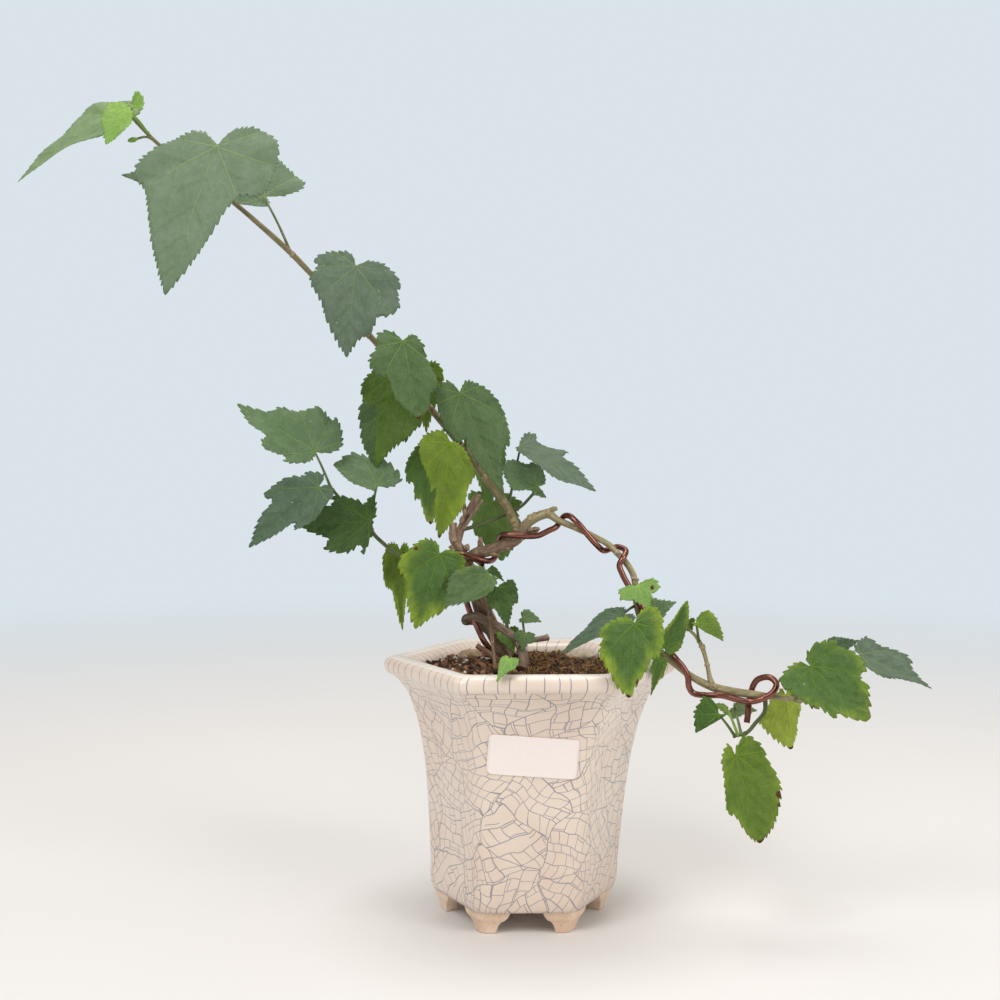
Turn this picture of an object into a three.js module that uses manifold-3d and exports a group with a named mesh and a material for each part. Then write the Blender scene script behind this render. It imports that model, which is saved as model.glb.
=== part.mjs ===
// Flowering maple trained as a cascading bonsai, planted in a six-sided footed pot.
// Millimetres, +Z up. The numbers are measured from the middle of the pot, 1.2 mm under its feet,
// and the whole plant is moved at the end so that its box stands centred on the origin.
import * as THREE from "three";
import { mergeVertices } from "three/addons/utils/BufferGeometryUtils.js";
import Module from "manifold-3d";

const wasm = await Module();
wasm.setup();

const GAP = 0.3; // left between two pieces that touch
const BLADE = 0.7; // thickness of a leaf blade
const PETIOLE = 0.75; // radius of a leaf stalk
const WIRE = 1.5; // radius of the training wire

// Pot: six sides with rounded corners, a flared rim and a foot under each corner.
const POT_YAW = THREE.MathUtils.degToRad(1.4);
const POT_LEAN = 0.033; // the hand-made body leans a little to +X as it rises
const POT_SHIFT = -1.5;
const POT_CORNER = 8; // rounding of the upright edges
const CORNER_STEPS = 2;
const SIDES = 6;
const SIDE_TURN = (2 * Math.PI) / SIDES;
const CORNER_REACH = 1 / Math.sin(Math.PI / 3); // corner distance over flat distance
const FOOT_HEIGHT = 12.4;
const FLOOR = 19; // top of the pot's floor
const DRAIN = 8; // radius of the drainage hole
const POT_OUTSIDE = [
  // height, distance from the middle to an unrounded corner
  [12.4, 46.8], [15.6, 48], [30, 48.8], [60, 51.2], [76, 53.1], [91, 56], [99, 58.2], [106, 60.7],
  [111, 63], [116, 67], [119.5, 70.6], [121, 73.6], [123, 75.2], [125.5, 75.4],
  [127.6, 74], [128.8, 71], [128.9, 67],
];
const POT_INSIDE = [[127.2, 60.5], [125.5, 58], [118, 56], [100, 51], [70, 46], [26, 42.6], [FLOOR, 39]];
const FOOT_LENGTHS = [
  // height, length of a foot along each side of its corner, how far inside the pot's corner it stands
  [1.2, 6.6, 5], [4.4, 8, 4], [6.8, 9.8, 3.2], [8.6, 12.8, 2.2], [14, 16.2, 1],
];
const FOOT_DEPTH = 7;
const FOOT_CORNER = 5;

// Soil: heaped a little in the middle, with shallow lumps.
const SOIL_EDGE = 123.6;
const SOIL_HEAP = 2.2;
const SOIL_RIM = 122.6; // where the soil meets the pot's wall
const SOIL_RINGS = [0.97, 0.75, 0.5, 0.25];
const SOIL_REACH = 58;
const SOIL_GAP = 0.4;

// Blank label on the front of the pot.
const LABEL = { x: 1.4, z: 88.6, width: 43, height: 19.5, tilt: THREE.MathUtils.degToRad(-4.3) };
const LABEL_THICKNESS = 0.6;
const LABEL_ROWS = 6;

const COLOURS = {
  glaze: 0xe9ddd0, soil: 0x4a3324, stone: 0xcbb79c, paper: 0xf3f3f0,
  bark: 0x6d5b4c, oliveBark: 0x8d8566, greenBark: 0x6f7747, wire: 0x8a4a3c,
  grey: 0x6d8a68, deep: 0x47702f, fresh: 0x6f9a3c, lime: 0x8fc25a, gold: 0xa2a83a, olive: 0x7d9440,
};

// Wood, as lists of [x, y, z, radius] along the middle of each limb.
const TRUNK = [
  [[-7, 9, 104, 2.4], [-9.5, 7, 118, 3.2], [-10.8, 6, 126, 3.3], [-14.4, 5, 136, 3.2], [-19, 4, 147, 3.3],
    [-23.4, 3, 156, 3.3], [-26.2, 2, 167, 2.9], [-29, 0.5, 175, 2.6], [-32.5, 0, 182, 2.4],
    [-36.5, 0, 188, 2.1], [-36.6, 0, 196, 1.7]],
  [[-6, 12, 112, 1.6], [-8.5, 9, 125, 2.1], [-13, 7.5, 137, 2.1], [-17, 2.5, 147, 2.2],
    [-21.5, 0.8, 156, 2.2], [-24.5, -0.6, 164, 1.9], [-27.6, -0.8, 172, 1.7], [-28.5, 0, 178, 1.6]],
  [[-13.5, 4, 130, 1.6], [-19, 5.5, 141, 2], [-23.6, 4.8, 150, 2.2], [-26, 2, 158, 2.1],
    [-28, 3.6, 166, 1.7], [-29.6, 2.4, 174, 1.5]],
];
const LOOP_ROOT = [
  [-17, 6, 138.5, 1.8], [-26, 5, 145.5, 2.1], [-30.2, 0.6, 146.2, 2.2], [-29.6, -4.6, 148.3, 2.2],
  [-25.5, -6.6, 149.4, 2.2], [-20, -6.8, 147, 2.1], [-12.4, -7.6, 143.8, 2], [-5.4, -9, 138.8, 2],
  [-2, -10, 133, 2.2], [-1, -10.5, 128, 2.8], [-2, -10, 116, 2.6],
];
const LIMBS = [
  [[-29.5, 0, 177, 2.6], [-25, 0, 180.5, 2.9], [-17.7, 0, 182.2, 3], [-10.4, 0, 185.2, 3],
    [-5, 0, 187.4, 3], [-2.6, 0, 190.6, 3.2], [-0.4, 0, 193.4, 2.6]], // level limb to the fork
  [[-34.5, 0, 186, 2.1], [-33, 1, 192, 2.1], [-29.2, 2, 200, 2], [-24.6, 3, 209.5, 1.9]], // tall cut limb
  [[-30, 1.6, 198.4, 1.4], [-31.4, 0.4, 205.6, 1.1]], // short cut beside it
  [[-31.5, 0, 193, 1.1], [-29.1, -2.6, 196.6, 0.9], [-21.7, -3, 207.5, 0.8]], // dark dead twig
  [[-22.8, 0, 182, 1.8], [-22.8, -1, 188.4, 1]], // stub on the level limb
  [[-3, 1, 189, 2.5], [3, 1.5, 191, 2], [6.6, 2, 192.4, 0.8]], // torn end under the fork
  [[-8.6, -8.6, 141, 1.6], [-3.6, -13, 138.2, 1.5]], // round stub on the looping root
  [[-4.4, -9.2, 137.6, 1.4], [3, -2.4, 137, 1.4], [10.5, 3, 137.3, 1.5]], // cut shoot behind it
];
const STICK = [[-19, -10.4, 162, 0.8], [-18, -10.6, 151, 0.9], [-17, -10.4, 141, 0.9], [-15.8, -10, 130, 1],
  [-14.8, -9.6, 117, 1]];
const CUT_TWIG = [
  [-24.6, -6.2, 134.8, 1.3], [-18, -5.8, 130.4, 1.4], [-12, -5.2, 125.2, 1.5], [-8, -5, 116, 1.5],
];
const LEADER = [
  [-3.4, 0, 190.6, 2.5], [-6.8, 0, 199, 2.3], [-10.5, 0, 205.6, 2.5], [-20, 1, 218.6, 2.1],
  [-31.7, 2, 233.9, 1.9], [-48, 3, 253.7, 1.7], [-75.6, 4, 286.9, 1.5], [-80.2, 4, 292, 1.6],
  [-108.6, 3, 321.9, 1.35], [-118.6, 2, 332.4, 1.5], [-147.6, 0, 358, 1.2], [-183.8, -3, 385.9, 1],
  [-192.6, -4, 394.4, 0.9], [-197.7, -4, 400, 0.9],
];
const FLOWER_STALK = [[-187, -3.3, 388.6, 0.6], [-190.6, -5, 390.2, 0.6], [-195.6, -7, 388.6, 0.6]];
const FLOWER_BUD = [[-194.6, -6.6, 388.9, 0.6], [-196.4, -7.2, 388.3, 1.4], [-198, -7.6, 387.8, 1.1],
  [-199, -8, 387.4, 0.5]];
const LEAF_BUD = [
  [-197.2, -3.8, 398.8, 0.7], [-198.6, -2, 402, 0.8], [-198, -0.6, 406, 2.4], [-196.6, 0.6, 411, 2.2],
  [-195.8, 1.2, 415.4, 0.5],
];
const CASCADE = [
  [-1.6, 0, 192.6, 2.6], [2.3, -1, 196.9, 2.5], [11.1, -2, 200.5, 2.3], [16.3, -3, 197.5, 1.7],
  [25.6, -4, 193.5, 1.6], [33.9, -5, 189.6, 1.5], [41.7, -7, 185.2, 1.5], [45.6, -8, 181.3, 1.5],
  [50.5, -10, 175.9, 1.6], [53.7, -12, 169.6, 1.6], [54.8, -16, 155.7, 1.6], [58.4, -19, 144.2, 1.6],
  [65.3, -23, 134.5, 1.6], [72.2, -26, 128.6, 1.6], [81.2, -28, 122.1, 1.7], [90.2, -29, 117.9, 2.1],
  [101.2, -30, 115.7, 2], [111.1, -31, 114.4, 1.9], [119.3, -31, 113.5, 1.4], [128, -31, 112.5, 1.2],
  [132.4, -31, 111.8, 1.6],
];
const CASCADE_STUB = [[9.6, -2, 200.2, 1.9], [14.8, -2, 203.4, 1.3]];
const THIN_TWIG = [
  [-32, 0.4, 192.4, 1], [-26, -1.2, 194.1, 0.9], [-20.5, 1.4, 195.8, 0.85], [-9.8, 4.6, 200.1, 0.8],
  [-1.9, 4.6, 204.3, 0.8], [4.4, 3, 211, 0.75],
];
const LEFT_TWIG = [
  [-26, 3, 160, 1.2], [-35, 4.4, 162.5, 1.2], [-43.5, 5.2, 167, 1.15], [-53.7, 6, 172.6, 1.1],
  [-63.5, 6, 178.2, 1.1], [-72.2, 6, 184.8, 1], [-78.2, 5, 191.5, 1], [-78.6, 4, 199.7, 0.85],
  [-77.2, 3, 207, 0.8],
];
const LEFT_FORK = [[-78.2, 5, 191.2, 0.95], [-89.2, 4.4, 202.3, 0.85], [-99.6, 2.6, 214.4, 0.8]];
const RISING_TWIG = [
  [90.4, -29, 117.6, 1.7], [88.8, -29, 122, 1.3], [87.5, -28, 129, 0.95], [85.2, -27.4, 137, 1.1],
  [82, -27, 142.4, 0.8], [77.6, -27, 146.6, 0.75],
];
const HANGING_TWIG = [[115, -31, 113.8, 1.2], [114.6, -32.4, 107, 1], [109.4, -35, 101.5, 0.95],
  [105, -36, 97.2, 0.9], [98.8, -36, 95.7, 0.8]];

// Training wire: from the soil up the trunk, round the level limb and along the cascade.
const WIRE_ROUTE = [
  [-12.5, -0.5, 114], [-14.6, -1, 127.5], [-17.8, -2, 132.3], [-21, -3, 136.5], [-23.7, -3, 142],
  [-25.9, -3, 147],
  [-28.4, -2.4, 152], [-29.9, -2, 157], [-30.4, -3.4, 162], [-28.6, -5.2, 167.4], [-24.8, -5.2, 171.2],
  [-22.3, -2.6, 173.6], [-22.8, 2, 175.4], [-26.4, 5.4, 177.4], [-31.4, 5, 179.4], [-35.6, 1, 180.6],
  [-34, -3.6, 180.8], [-30.6, -5.2, 180.4], [-26.4, -5.4, 178.8], [-22, -4.8, 177.4], [-18.6, -2.4, 176.8],
  [-16, 1.8, 177.6], [-14.4, 4.8, 181.6], [-13.6, 3.6, 187], [-12.4, -0.6, 189.4], [-9.8, -4.2, 190.2],
  [-1.8, -5.6, 189.6], [6.2, -4.4, 189.8], [11.7, -3.2, 192.2], [15.4, -1.8, 193.9], [17.6, 0.6, 196.6],
  [19.6, -1.4, 199.4], [22.2, -4.6, 199.6], [24.6, -7, 197.6], [27, -8, 195.2], [31.4, -8.4, 189.8],
  [35.6, -8.2, 185.2], [39.4, -4.8, 182.2], [42.8, -3.2, 183], [46.4, -4, 184], [50, -8, 182.4],
  [48.2, -12.4, 179], [46.4, -13, 175.6], [48, -14.6, 170.6], [51.4, -16.8, 164.4], [55.9, -19.6, 157],
  [61, -20.4, 147.6], [65.8, -20.6, 140.4], [69, -24.6, 135.8], [72.4, -29.6, 131.4], [76, -30.8, 127],
  [77.8, -31.4, 122.8], [78.2, -31.4, 118.6], [80.3, -31, 115.4], [86.2, -31.6, 114.4], [93.6, -33, 114.6],
  [100.4, -33, 112.8], [106.7, -33.2, 111.6], [112, -35.2, 113.1], [116, -35.2, 115], [118.8, -34.6, 117.4],
  [120, -33, 120.2], [117.4, -30, 122.8], [112.3, -27, 121.2], [110.3, -26.2, 118.2], [109, -26.2, 113.9],
  [107.8, -28, 110.1], [107.1, -29.5, 105.6], [106.3, -30.5, 101],
];
const WIRE_END = [[-3.2, -20, 114], [-3.2, -20, 126.8]];

// Stones on the soil: place and half sizes.
const STONES = [
  ["stone_pale", [30, 26, 124.6], [8, 6, 3.2]],
  ["stone_tan", [-28.6, 25, 124.6], [6.4, 5, 3.4]],
];

// Leaves. Each row: name, wood it grows on, where its stalk leaves the wood, the blade's base and tip,
// the way its upper face looks, widths of its two sides, shape of its two sides (-1 oval, 0 heart-shaped,
// 1 lobed), fold along the middle and droop along the length (degrees), and colour.
const LEAVES = [
  ["crown_long", "leader", [-195.4, -4.4, 397.6], [-200.5, -7, 402.2], [-252, -15, 366],
    [-0.37, -0.66, 0.65], [19, 13], [0, 0], 2, 20, "grey"],
  ["crown_lime", "leader", [-190.4, -3.8, 392.4], [-193.5, -23, 398], [-203.5, -30, 380.5],
    [-0.4, -1, 0.2], [13, 6.5], [0, 0], 8, 10, "lime"],
  ["leader_broad", "leader", [-152.6, -0.4, 362], [-153, -16, 382.5], [-174.5, -32, 307.5],
    [0.05, -1, 0.24], [32, 32], [0.1, 0.5], 6, 14, "grey"],
  ["leader_far", "leader", [-119, 2, 332.8], [-135.5, 16, 364.5], [-212, 24, 378],
    [0, -1, 0.55], [28.5, 10.5], [0.8, 0.4], 6, 8, "grey"],
  ["leader_upper", "leader", [-83, 4, 295.2], [-85.5, -4, 325], [-88.5, -18, 278.5],
    [0, -1, 0.26], [21.5, 24.5], [-0.3, -0.4], 8, 14, "grey"],
  ["leader_dark", "leader", [-66, 3.6, 275.6], [-60, -25, 285.5], [-52, -34, 247.5],
    [0.1, -1, 0.14], [18, 12.5], [0, 0.2], 10, 12, "deep"],
  ["leader_olive", "leader", [-58, 3.4, 266], [-67.5, -12, 269], [-74.5, -18, 224],
    [-0.05, -1, 0.05], [13, 20.5], [0.5, 0.5], 10, 12, "olive"],
  ["leader_shade", "leader", [-51, 3, 257.4], [-67, 0, 255], [-76, 4, 224],
    [-0.2, -1, 0.12], [15.5, 13], [-0.7, 0.8], 10, 10, "deep"],
  ["leader_behind", "leader", [-50, 3, 256], [-52.5, 12, 275], [-51, 16, 242],
    [0.1, -1, 0.2], [10, 10], [0, 0], 8, 10, "olive"],
  ["fork_broad", "leader", [-30, 2, 231.8], [-32.5, -12, 261], [-11, -18, 211],
    [0.06, -1, 0.16], [16, 16.5], [0, 0.7], 10, 12, "grey"],
  ["fork_behind", "leader", [-21.4, 1.2, 220.4], [-22, 10, 239], [-17.6, 11, 201],
    [0.1, -1, 0.1], [10, 11], [0.5, 0.5], 8, 10, "fresh"],
  ["fork_yellow", "leader", [-27.5, 1.6, 228.4], [-37, -27, 236], [-42.5, -31, 190],
    [0, -1, 0.08], [14, 13.5], [0.8, 0.6], 10, 12, "gold"],
  ["fork_green", "leader", [-40, 2.6, 244], [-50.5, -6, 233.5], [-47.5, -8, 195.5],
    [-0.15, -1, 0.06], [10, 6.5], [0.8, 0.8], 14, 12, "fresh"],
  ["twig_grey", "trunk", [4.4, 3, 210.8], [6.5, 1.6, 214.5], [-12, -5, 224],
    [0.1, -1, 0.3], [9.5, 8], [0.4, 0.4], 8, 8, "grey"],
  ["fork_right", "leader", [-8.8, 0, 203], [-2.5, 0.6, 234.5], [35.5, -6, 212.5],
    [0.25, -0.62, 0.8], [10.5, 12.5], [0.5, 0.3], 8, 16, "grey"],
  ["fork_low", "leader", [-10.8, 0.2, 206], [-16, 14, 206], [-12, 15, 175.4],
    [0.1, -1, 0.1], [12.5, 13], [0.2, 0.2], 8, 10, "fresh"],
  ["left_high", "left_twig", [-99, 2.8, 213.6], [-106.5, -2, 232], [-144, -10, 256],
    [0.1, -1, 0.24], [20.5, 13], [0.6, 0.6], 8, 10, "grey"],
  ["left_low", "left_twig", [-98, 3, 212.4], [-103, -14, 214], [-136, -22, 185],
    [-0.1, -1, 0.2], [15.5, 11.5], [1, 1], 10, 12, "grey"],
  ["left_level", "left_twig", [-77.4, 3.2, 206.4], [-75.5, 2, 214.5], [-98.5, 8, 225.5],
    [0.1, -1, 0.4], [13.5, 4.5], [-0.2, -0.2], 4, 6, "grey"],
  ["left_deep", "left_twig", [-78.4, 4.4, 196], [-79, -4, 197], [-112, -10, 194.5],
    [-0.1, -1, 0.18], [14.5, 16.5], [0.7, 0.7], 10, 10, "deep"],
  ["left_hanging", "left_twig", [-61, 6, 176.8], [-64.5, 11, 181], [-63.5, 14, 139.5],
    [-0.3, -1, 0.04], [8.5, 7], [0.6, 0.6], 12, 10, "olive"],
  ["trunk_gold", "trunk", [-27, 2.2, 165], [-43, -13, 181], [-54.5, -21, 145],
    [-0.05, -1, 0.16], [17, 15.5], [0.1, 0.3], 8, 14, "fresh"],
  ["trunk_front", "trunk", [-22, 1, 157.6], [-18, -19.5, 171], [-40, -26.5, 156.5],
    [0.05, -1, 0.3], [11, 6.5], [0.2, 0.2], 10, 12, "fresh"],
  ["trunk_curl", "trunk", [-25, -1.6, 165.4], [-18.5, -6, 172.5], [-11, -9, 167.4],
    [0.5, -0.6, 0.9], [4.4, 4], [0, 0], 20, 16, "deep"],
  ["stick_leaf", "stick", [-18.6, -10.5, 158.4], [-14, -15, 164.5], [-9, -21, 145],
    [0.1, -1, 0.2], [7, 9], [0.5, 0.5], 10, 12, "deep"],
  ["stick_small", "stick", [-18.9, -10.4, 161], [-9.8, -11.4, 166], [-4, -12.6, 158.8],
    [0.3, -1, 0.3], [3.4, 4], [0.2, 0.2], 10, 10, "deep"],
  ["root_level", "trunk", [-0.4, -5.6, 137.2], [-1.6, -1, 148], [8, -3, 146.2],
    [0.2, -0.6, 0.8], [4.4, 6], [0, 0], 10, 14, "grey"],
  ["root_round", "trunk", [-4.2, -9.6, 137.2], [-0.4, -14.4, 142], [-2, -17, 133.4],
    [0.1, -1, 0.2], [5.2, 5], [1, 1], 12, 10, "deep"],
  ["root_drop", "trunk", [-12.6, 6.4, 136.4], [-9, 2, 141.4], [-6, 0.4, 129.6],
    [0.1, -1, 0.1], [6.2, 5.6], [0.2, 0.2], 10, 8, "olive"],
  ["rim_leaf", "soil", [-6, -15, 118], [-9, -60, 136.5], [-14.5, -69.5, 127.5],
    [-0.15, -1, 0.75], [3, 5.5], [0.2, 0.2], 8, 16, "lime"],
  ["bend_small", "cascade", [54.4, -13.6, 166], [54.4, -22.6, 166.2], [59, -30, 156],
    [0.1, -1, 0.4], [11, 9.5], [0.8, 0.8], 10, 12, "fresh"],
  ["bend_dark", "cascade", [54.2, -15.6, 156], [46.5, -27, 152.5], [15, -40, 135.5],
    [-0.3, -0.72, 0.8], [6.5, 9.5], [0.1, 0.3], 10, 10, "grey"],
  ["bend_broad", "cascade", [58, -18.8, 146], [49.5, -56, 152], [45.5, -71, 120.5],
    [0, -1, 0.42], [16, 14], [-0.6, -0.4], 8, 14, "fresh"],
  ["bend_folded", "cascade", [61, -20.4, 140.4], [67, -30.6, 137.5], [78.5, -26, 159.5],
    [0.6, -0.9, 0.1], [6.5, 6], [-0.8, -0.8], 20, 10, "deep"],
  ["bend_grey", "cascade", [54.7, -15.4, 157.6], [61.6, -14, 151.6], [75, -11, 157.2],
    [0.1, -0.8, 0.5], [5, 7], [0.3, 0.3], 10, 8, "grey"],
  ["bend_narrow", "cascade", [66, -23.4, 133.8], [64.6, -31, 131.4], [59, -39, 115.6],
    [0.3, -1, 0.1], [4.6, 3.6], [0.6, 0.6], 14, 10, "fresh"],
  ["rising_leaf", "cascade", [83.6, -27.2, 140], [82, -30, 149], [94, -36, 141.2],
    [0.3, -0.8, 0.7], [2.5, 10], [0, -0.3], 10, 10, "olive"],
  ["rising_bud", "cascade", [78.4, -27, 145.8], [79.6, -23.6, 149.8], [81, -22, 144.6],
    [0.1, -1, 0.1], [3, 2.6], [0, 0], 10, 6, "lime"],
  ["hanging_deep", "cascade", [99.4, -36, 95.9], [91, -41, 107], [79.5, -45, 99],
    [-0.1, -1, 0.2], [11, 0.5], [0.4, 0.4], 10, 10, "deep"],
  ["hanging_lime", "cascade", [101, -36, 96.2], [97.8, -26, 106.4], [92, -19, 107.8],
    [-0.2, -0.8, -0.6], [4.4, 4], [0.2, 0.2], 8, 8, "lime"],
  ["hanging_grey", "cascade", [102.6, -36, 96.6], [101.6, -23, 107], [114, -17, 104],
    [0.1, -0.8, -0.5], [6, 5], [0.3, 0.3], 8, 8, "grey"],
  ["hanging_broad", "cascade", [104.6, -36, 97], [98, -46, 88.5], [108, -55, 50],
    [0.1, -1, 0.14], [11.5, 16.5], [-0.7, -0.9], 12, 14, "olive"],
  ["end_hanging", "cascade", [123.4, -31, 113.2], [126.5, -24.4, 113], [130.5, -20, 86],
    [0, 1, 0.1], [7.5, 14], [-1, -1], 4, 10, "gold"],
  ["end_broad", "cascade", [129.4, -31.4, 112.3], [133.5, -46, 130.5], [157.5, -56, 107],
    [0.1, -1, 0.26], [17.5, 19.5], [0.5, -0.2], 8, 12, "fresh"],
  ["end_shade", "cascade", [127.4, -30.8, 112.5], [151, -14, 135], [166, -12, 138],
    [0, -1, 0.3], [4.6, 4.6], [0, 0], 8, 6, "deep"],
  ["end_pointed", "cascade", [131.6, -31, 111.9], [161.5, -30, 133.5], [194, -36, 118.5],
    [0.3, -0.9, 0.6], [8.5, 10.5], [-0.4, -0.4], 10, 16, "grey"],
];
// Margins of the leaves that show best, each point as [degrees from the midrib, millimetres from the stalk's
// point], from the stalk to the tip: first the side of the first width, then the other side. The rest of
// the leaves have a plain heart-shaped margin.
const MARGINS = {
  leader_broad: [
    [[115, 13], [72, 25], [52, 41], [35, 42], [12, 60]],
    [[155, 12], [130, 23], [103, 31], [72, 34], [55, 35], [37, 30], [12, 53]],
  ],
  leader_far: [
    [[160, 12], [146, 22], [106, 22], [76, 30], [53, 31], [32, 37], [15, 49]],
    [[130, 6], [95, 9], [66, 10], [30, 17], [18, 34], [9, 51], [5, 63]],
  ],
  leader_upper: [
    [[155, 8], [122, 15], [96, 21], [84, 19], [62, 24], [35, 26], [20, 33]],
    [[115, 8], [88, 16], [70, 25], [60, 26], [47, 33], [34, 33], [27, 31], [18, 37], [6, 41]],
  ],
  leader_dark: [
    [[140, 8], [116, 13], [88, 13], [62, 21], [45, 22], [33, 20], [17, 30]],
    [[115, 6], [65, 10], [45, 13], [27, 27], [16, 30], [9, 36]],
  ],
  leader_olive: [
    [[110, 5], [92, 10], [58, 15], [34, 18], [17, 16], [4, 30]],
    [[95, 5], [66, 12], [49, 27], [32, 31], [22, 33], [10, 37]],
  ],
  fork_broad: [
    [[160, 8], [125, 12], [95, 13], [78, 14], [53, 18.5], [38, 22.5], [25, 25.5], [16, 23.5], [12, 33]],
    [[135, 6], [110, 8], [74, 13], [50, 21], [33, 28], [21, 35], [15, 35], [9, 38]],
  ],
  fork_yellow: [
    [[135, 8], [94, 14], [62, 16], [46, 17], [22, 21], [15, 25], [9, 22], [6, 34]],
    [[90, 4], [60, 11], [45, 19], [34, 22], [28, 24], [18, 32]],
  ],
  fork_green: [
    [[140, 3], [100, 5], [50, 13], [32, 19], [23, 18], [16, 25], [9, 26], [4, 35]],
    [[60, 4], [32, 10], [22, 17], [6, 32]],
  ],
  fork_right: [
    [[95, 4], [52, 8], [34, 16], [21, 29], [16, 33]],
    [[110, 6], [98, 10], [76, 12], [58, 10], [44, 13], [33, 21], [27, 24], [18, 22], [10, 31]],
  ],
  fork_low: [
    [[140, 7], [118, 14], [95, 12], [70, 13], [45, 18], [22, 22]],
    [[135, 6], [105, 9], [80, 14], [60, 13], [42, 18], [24, 19], [14, 26]],
  ],
  twig_grey: [
    [[135, 4], [106, 6], [76, 9], [52, 12], [34, 13], [16, 20]],
    [[150, 7], [95, 5], [45, 6], [35, 14], [23, 17]],
  ],
  left_high: [
    [[150, 8], [135, 14], [112, 17], [93, 20], [83, 18], [62, 22], [34, 22], [20, 28], [8, 31]],
    [[90, 6], [60, 13], [50, 16], [42, 15], [30, 25], [22, 27], [14, 26], [9, 35]],
  ],
  left_low: [
    [[150, 7], [96, 10], [82, 9], [54, 17], [34, 27], [25, 23], [14, 31]],
    [[155, 5], [110, 9], [76, 10], [46, 16], [24, 24], [17, 21], [8, 31]],
  ],
  left_level: [
    [[150, 9], [130, 13], [100, 13], [75, 14], [33, 20], [22, 23]],
    [[80, 3], [28, 8], [16, 15]],
  ],
  left_deep: [
    [[140, 5], [108, 12], [96, 12], [80, 9], [60, 13], [43, 21], [30, 20], [20, 24]],
    [[115, 4], [94, 7], [76, 17], [65, 13], [50, 20], [30, 26], [20, 22], [8, 28]],
  ],
  trunk_gold: [
    [[148, 6], [114, 11], [80, 15], [56, 21], [32, 21], [25, 24], [13, 30]],
    [[130, 6], [94, 13], [62, 17], [45, 21], [24, 28], [12, 31]],
  ],
  trunk_front: [
    [[85, 5], [65, 9], [52, 12], [34, 19]],
    [[115, 4], [60, 8], [24, 15], [10, 20]],
  ],
  bend_broad: [
    [[118, 6], [76, 14], [64, 18], [54, 18], [44, 22], [34, 24], [11, 31]],
    [[158, 7], [140, 12], [118, 13], [74, 14], [52, 17], [38, 19], [27, 19], [17, 23], [7, 28]],
  ],
  hanging_deep: [
    [[115, 4], [100, 8], [85, 11], [56, 11], [38, 12]],
    [[115, 2], [60, 2.4], [25, 4]],
  ],
  hanging_broad: [
    [[165, 6], [92, 7], [45, 13], [27, 26], [19, 27], [8, 36]],
    [[150, 5], [132, 11], [94, 13], [72, 14], [46, 23], [32, 27], [14, 35]],
  ],
  end_hanging: [
    [[150, 3], [90, 5], [51, 9], [15, 16], [8, 21]],
    [[153, 4], [86, 6], [58, 12], [45, 19], [14, 24]],
  ],
  end_broad: [
    [[150, 7], [112, 16], [97, 17], [70, 17], [47, 20], [36, 20], [26, 25], [17, 25], [9, 30]],
    [[155, 5], [120, 11], [94, 16], [80, 16], [62, 22], [42, 25], [34, 22], [24, 27], [7, 33]],
  ],
  end_pointed: [
    [[100, 4], [52, 9], [32, 15], [13, 20], [3, 28]],
    [[140, 5], [92, 10], [58, 11], [36, 17], [20, 23], [12, 24], [4, 29]],
  ],
  crown_lime: [
    [[125, 5], [112, 9], [92, 13], [72, 13], [48, 15], [30, 15]],
    [[80, 2], [42, 7], [29, 13], [17, 16]],
  ],
};
const BIG_LEAF = 26; // a blade this long or longer has more teeth
const TEETH = { big: 7, small: 5 }; // teeth along each side
const TOOTH = 0.022; // height of a tooth, as a share of the blade
const TOOTH_LEAST = 0.1; // and this much more in millimetres
const INNER = 0.52; // the ring of points half way in
const RIPPLE = 0.035; // waves of the blade, as a share of its length
const RIPPLE_TURN = 9;
const RIB_FLAT = 2; // the blade stays flat this near to its midrib before it folds
const STALK_BOW = 0.03; // rise of a stalk's middle, as a share of its length

const vector = (point) => new THREE.Vector3(point[0], point[1], point[2]);
const mix = THREE.MathUtils.lerp;

// A closed solid from loose points and triangles.
function solidFrom(points, triangles) {
  const geometry = new THREE.BufferGeometry();
  const places = points.flatMap((p) => [p.x, p.y, p.z]);
  geometry.setAttribute("position", new THREE.Float32BufferAttribute(places, 3));
  geometry.setIndex(triangles.flat());
  return toSolid(geometry);
}

function toSolid(geometry) {
  const bare = geometry.clone();
  bare.deleteAttribute("normal");
  bare.deleteAttribute("uv");
  const merged = mergeVertices(bare, 1e-4);
  return new wasm.Manifold(new wasm.Mesh({
    numProp: 3,
    vertProperties: new Float32Array(merged.attributes.position.array),
    triVerts: new Uint32Array(merged.index.array),
  }));
}

function toGeometry(solid) {
  const mesh = solid.getMesh();
  const positions = new Float32Array(mesh.numVert * 3);
  for (let i = 0; i < mesh.numVert; i += 1) {
    positions.set(mesh.vertProperties.subarray(i * mesh.numProp, i * mesh.numProp + 3), i * 3);
  }
  const geometry = new THREE.BufferGeometry();
  geometry.setAttribute("position", new THREE.BufferAttribute(positions, 3));
  geometry.setIndex(new THREE.BufferAttribute(new Uint32Array(mesh.triVerts), 1));
  return geometry;
}

const join = (solids) => solids.reduce((whole, next) => whole.add(next));

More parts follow.
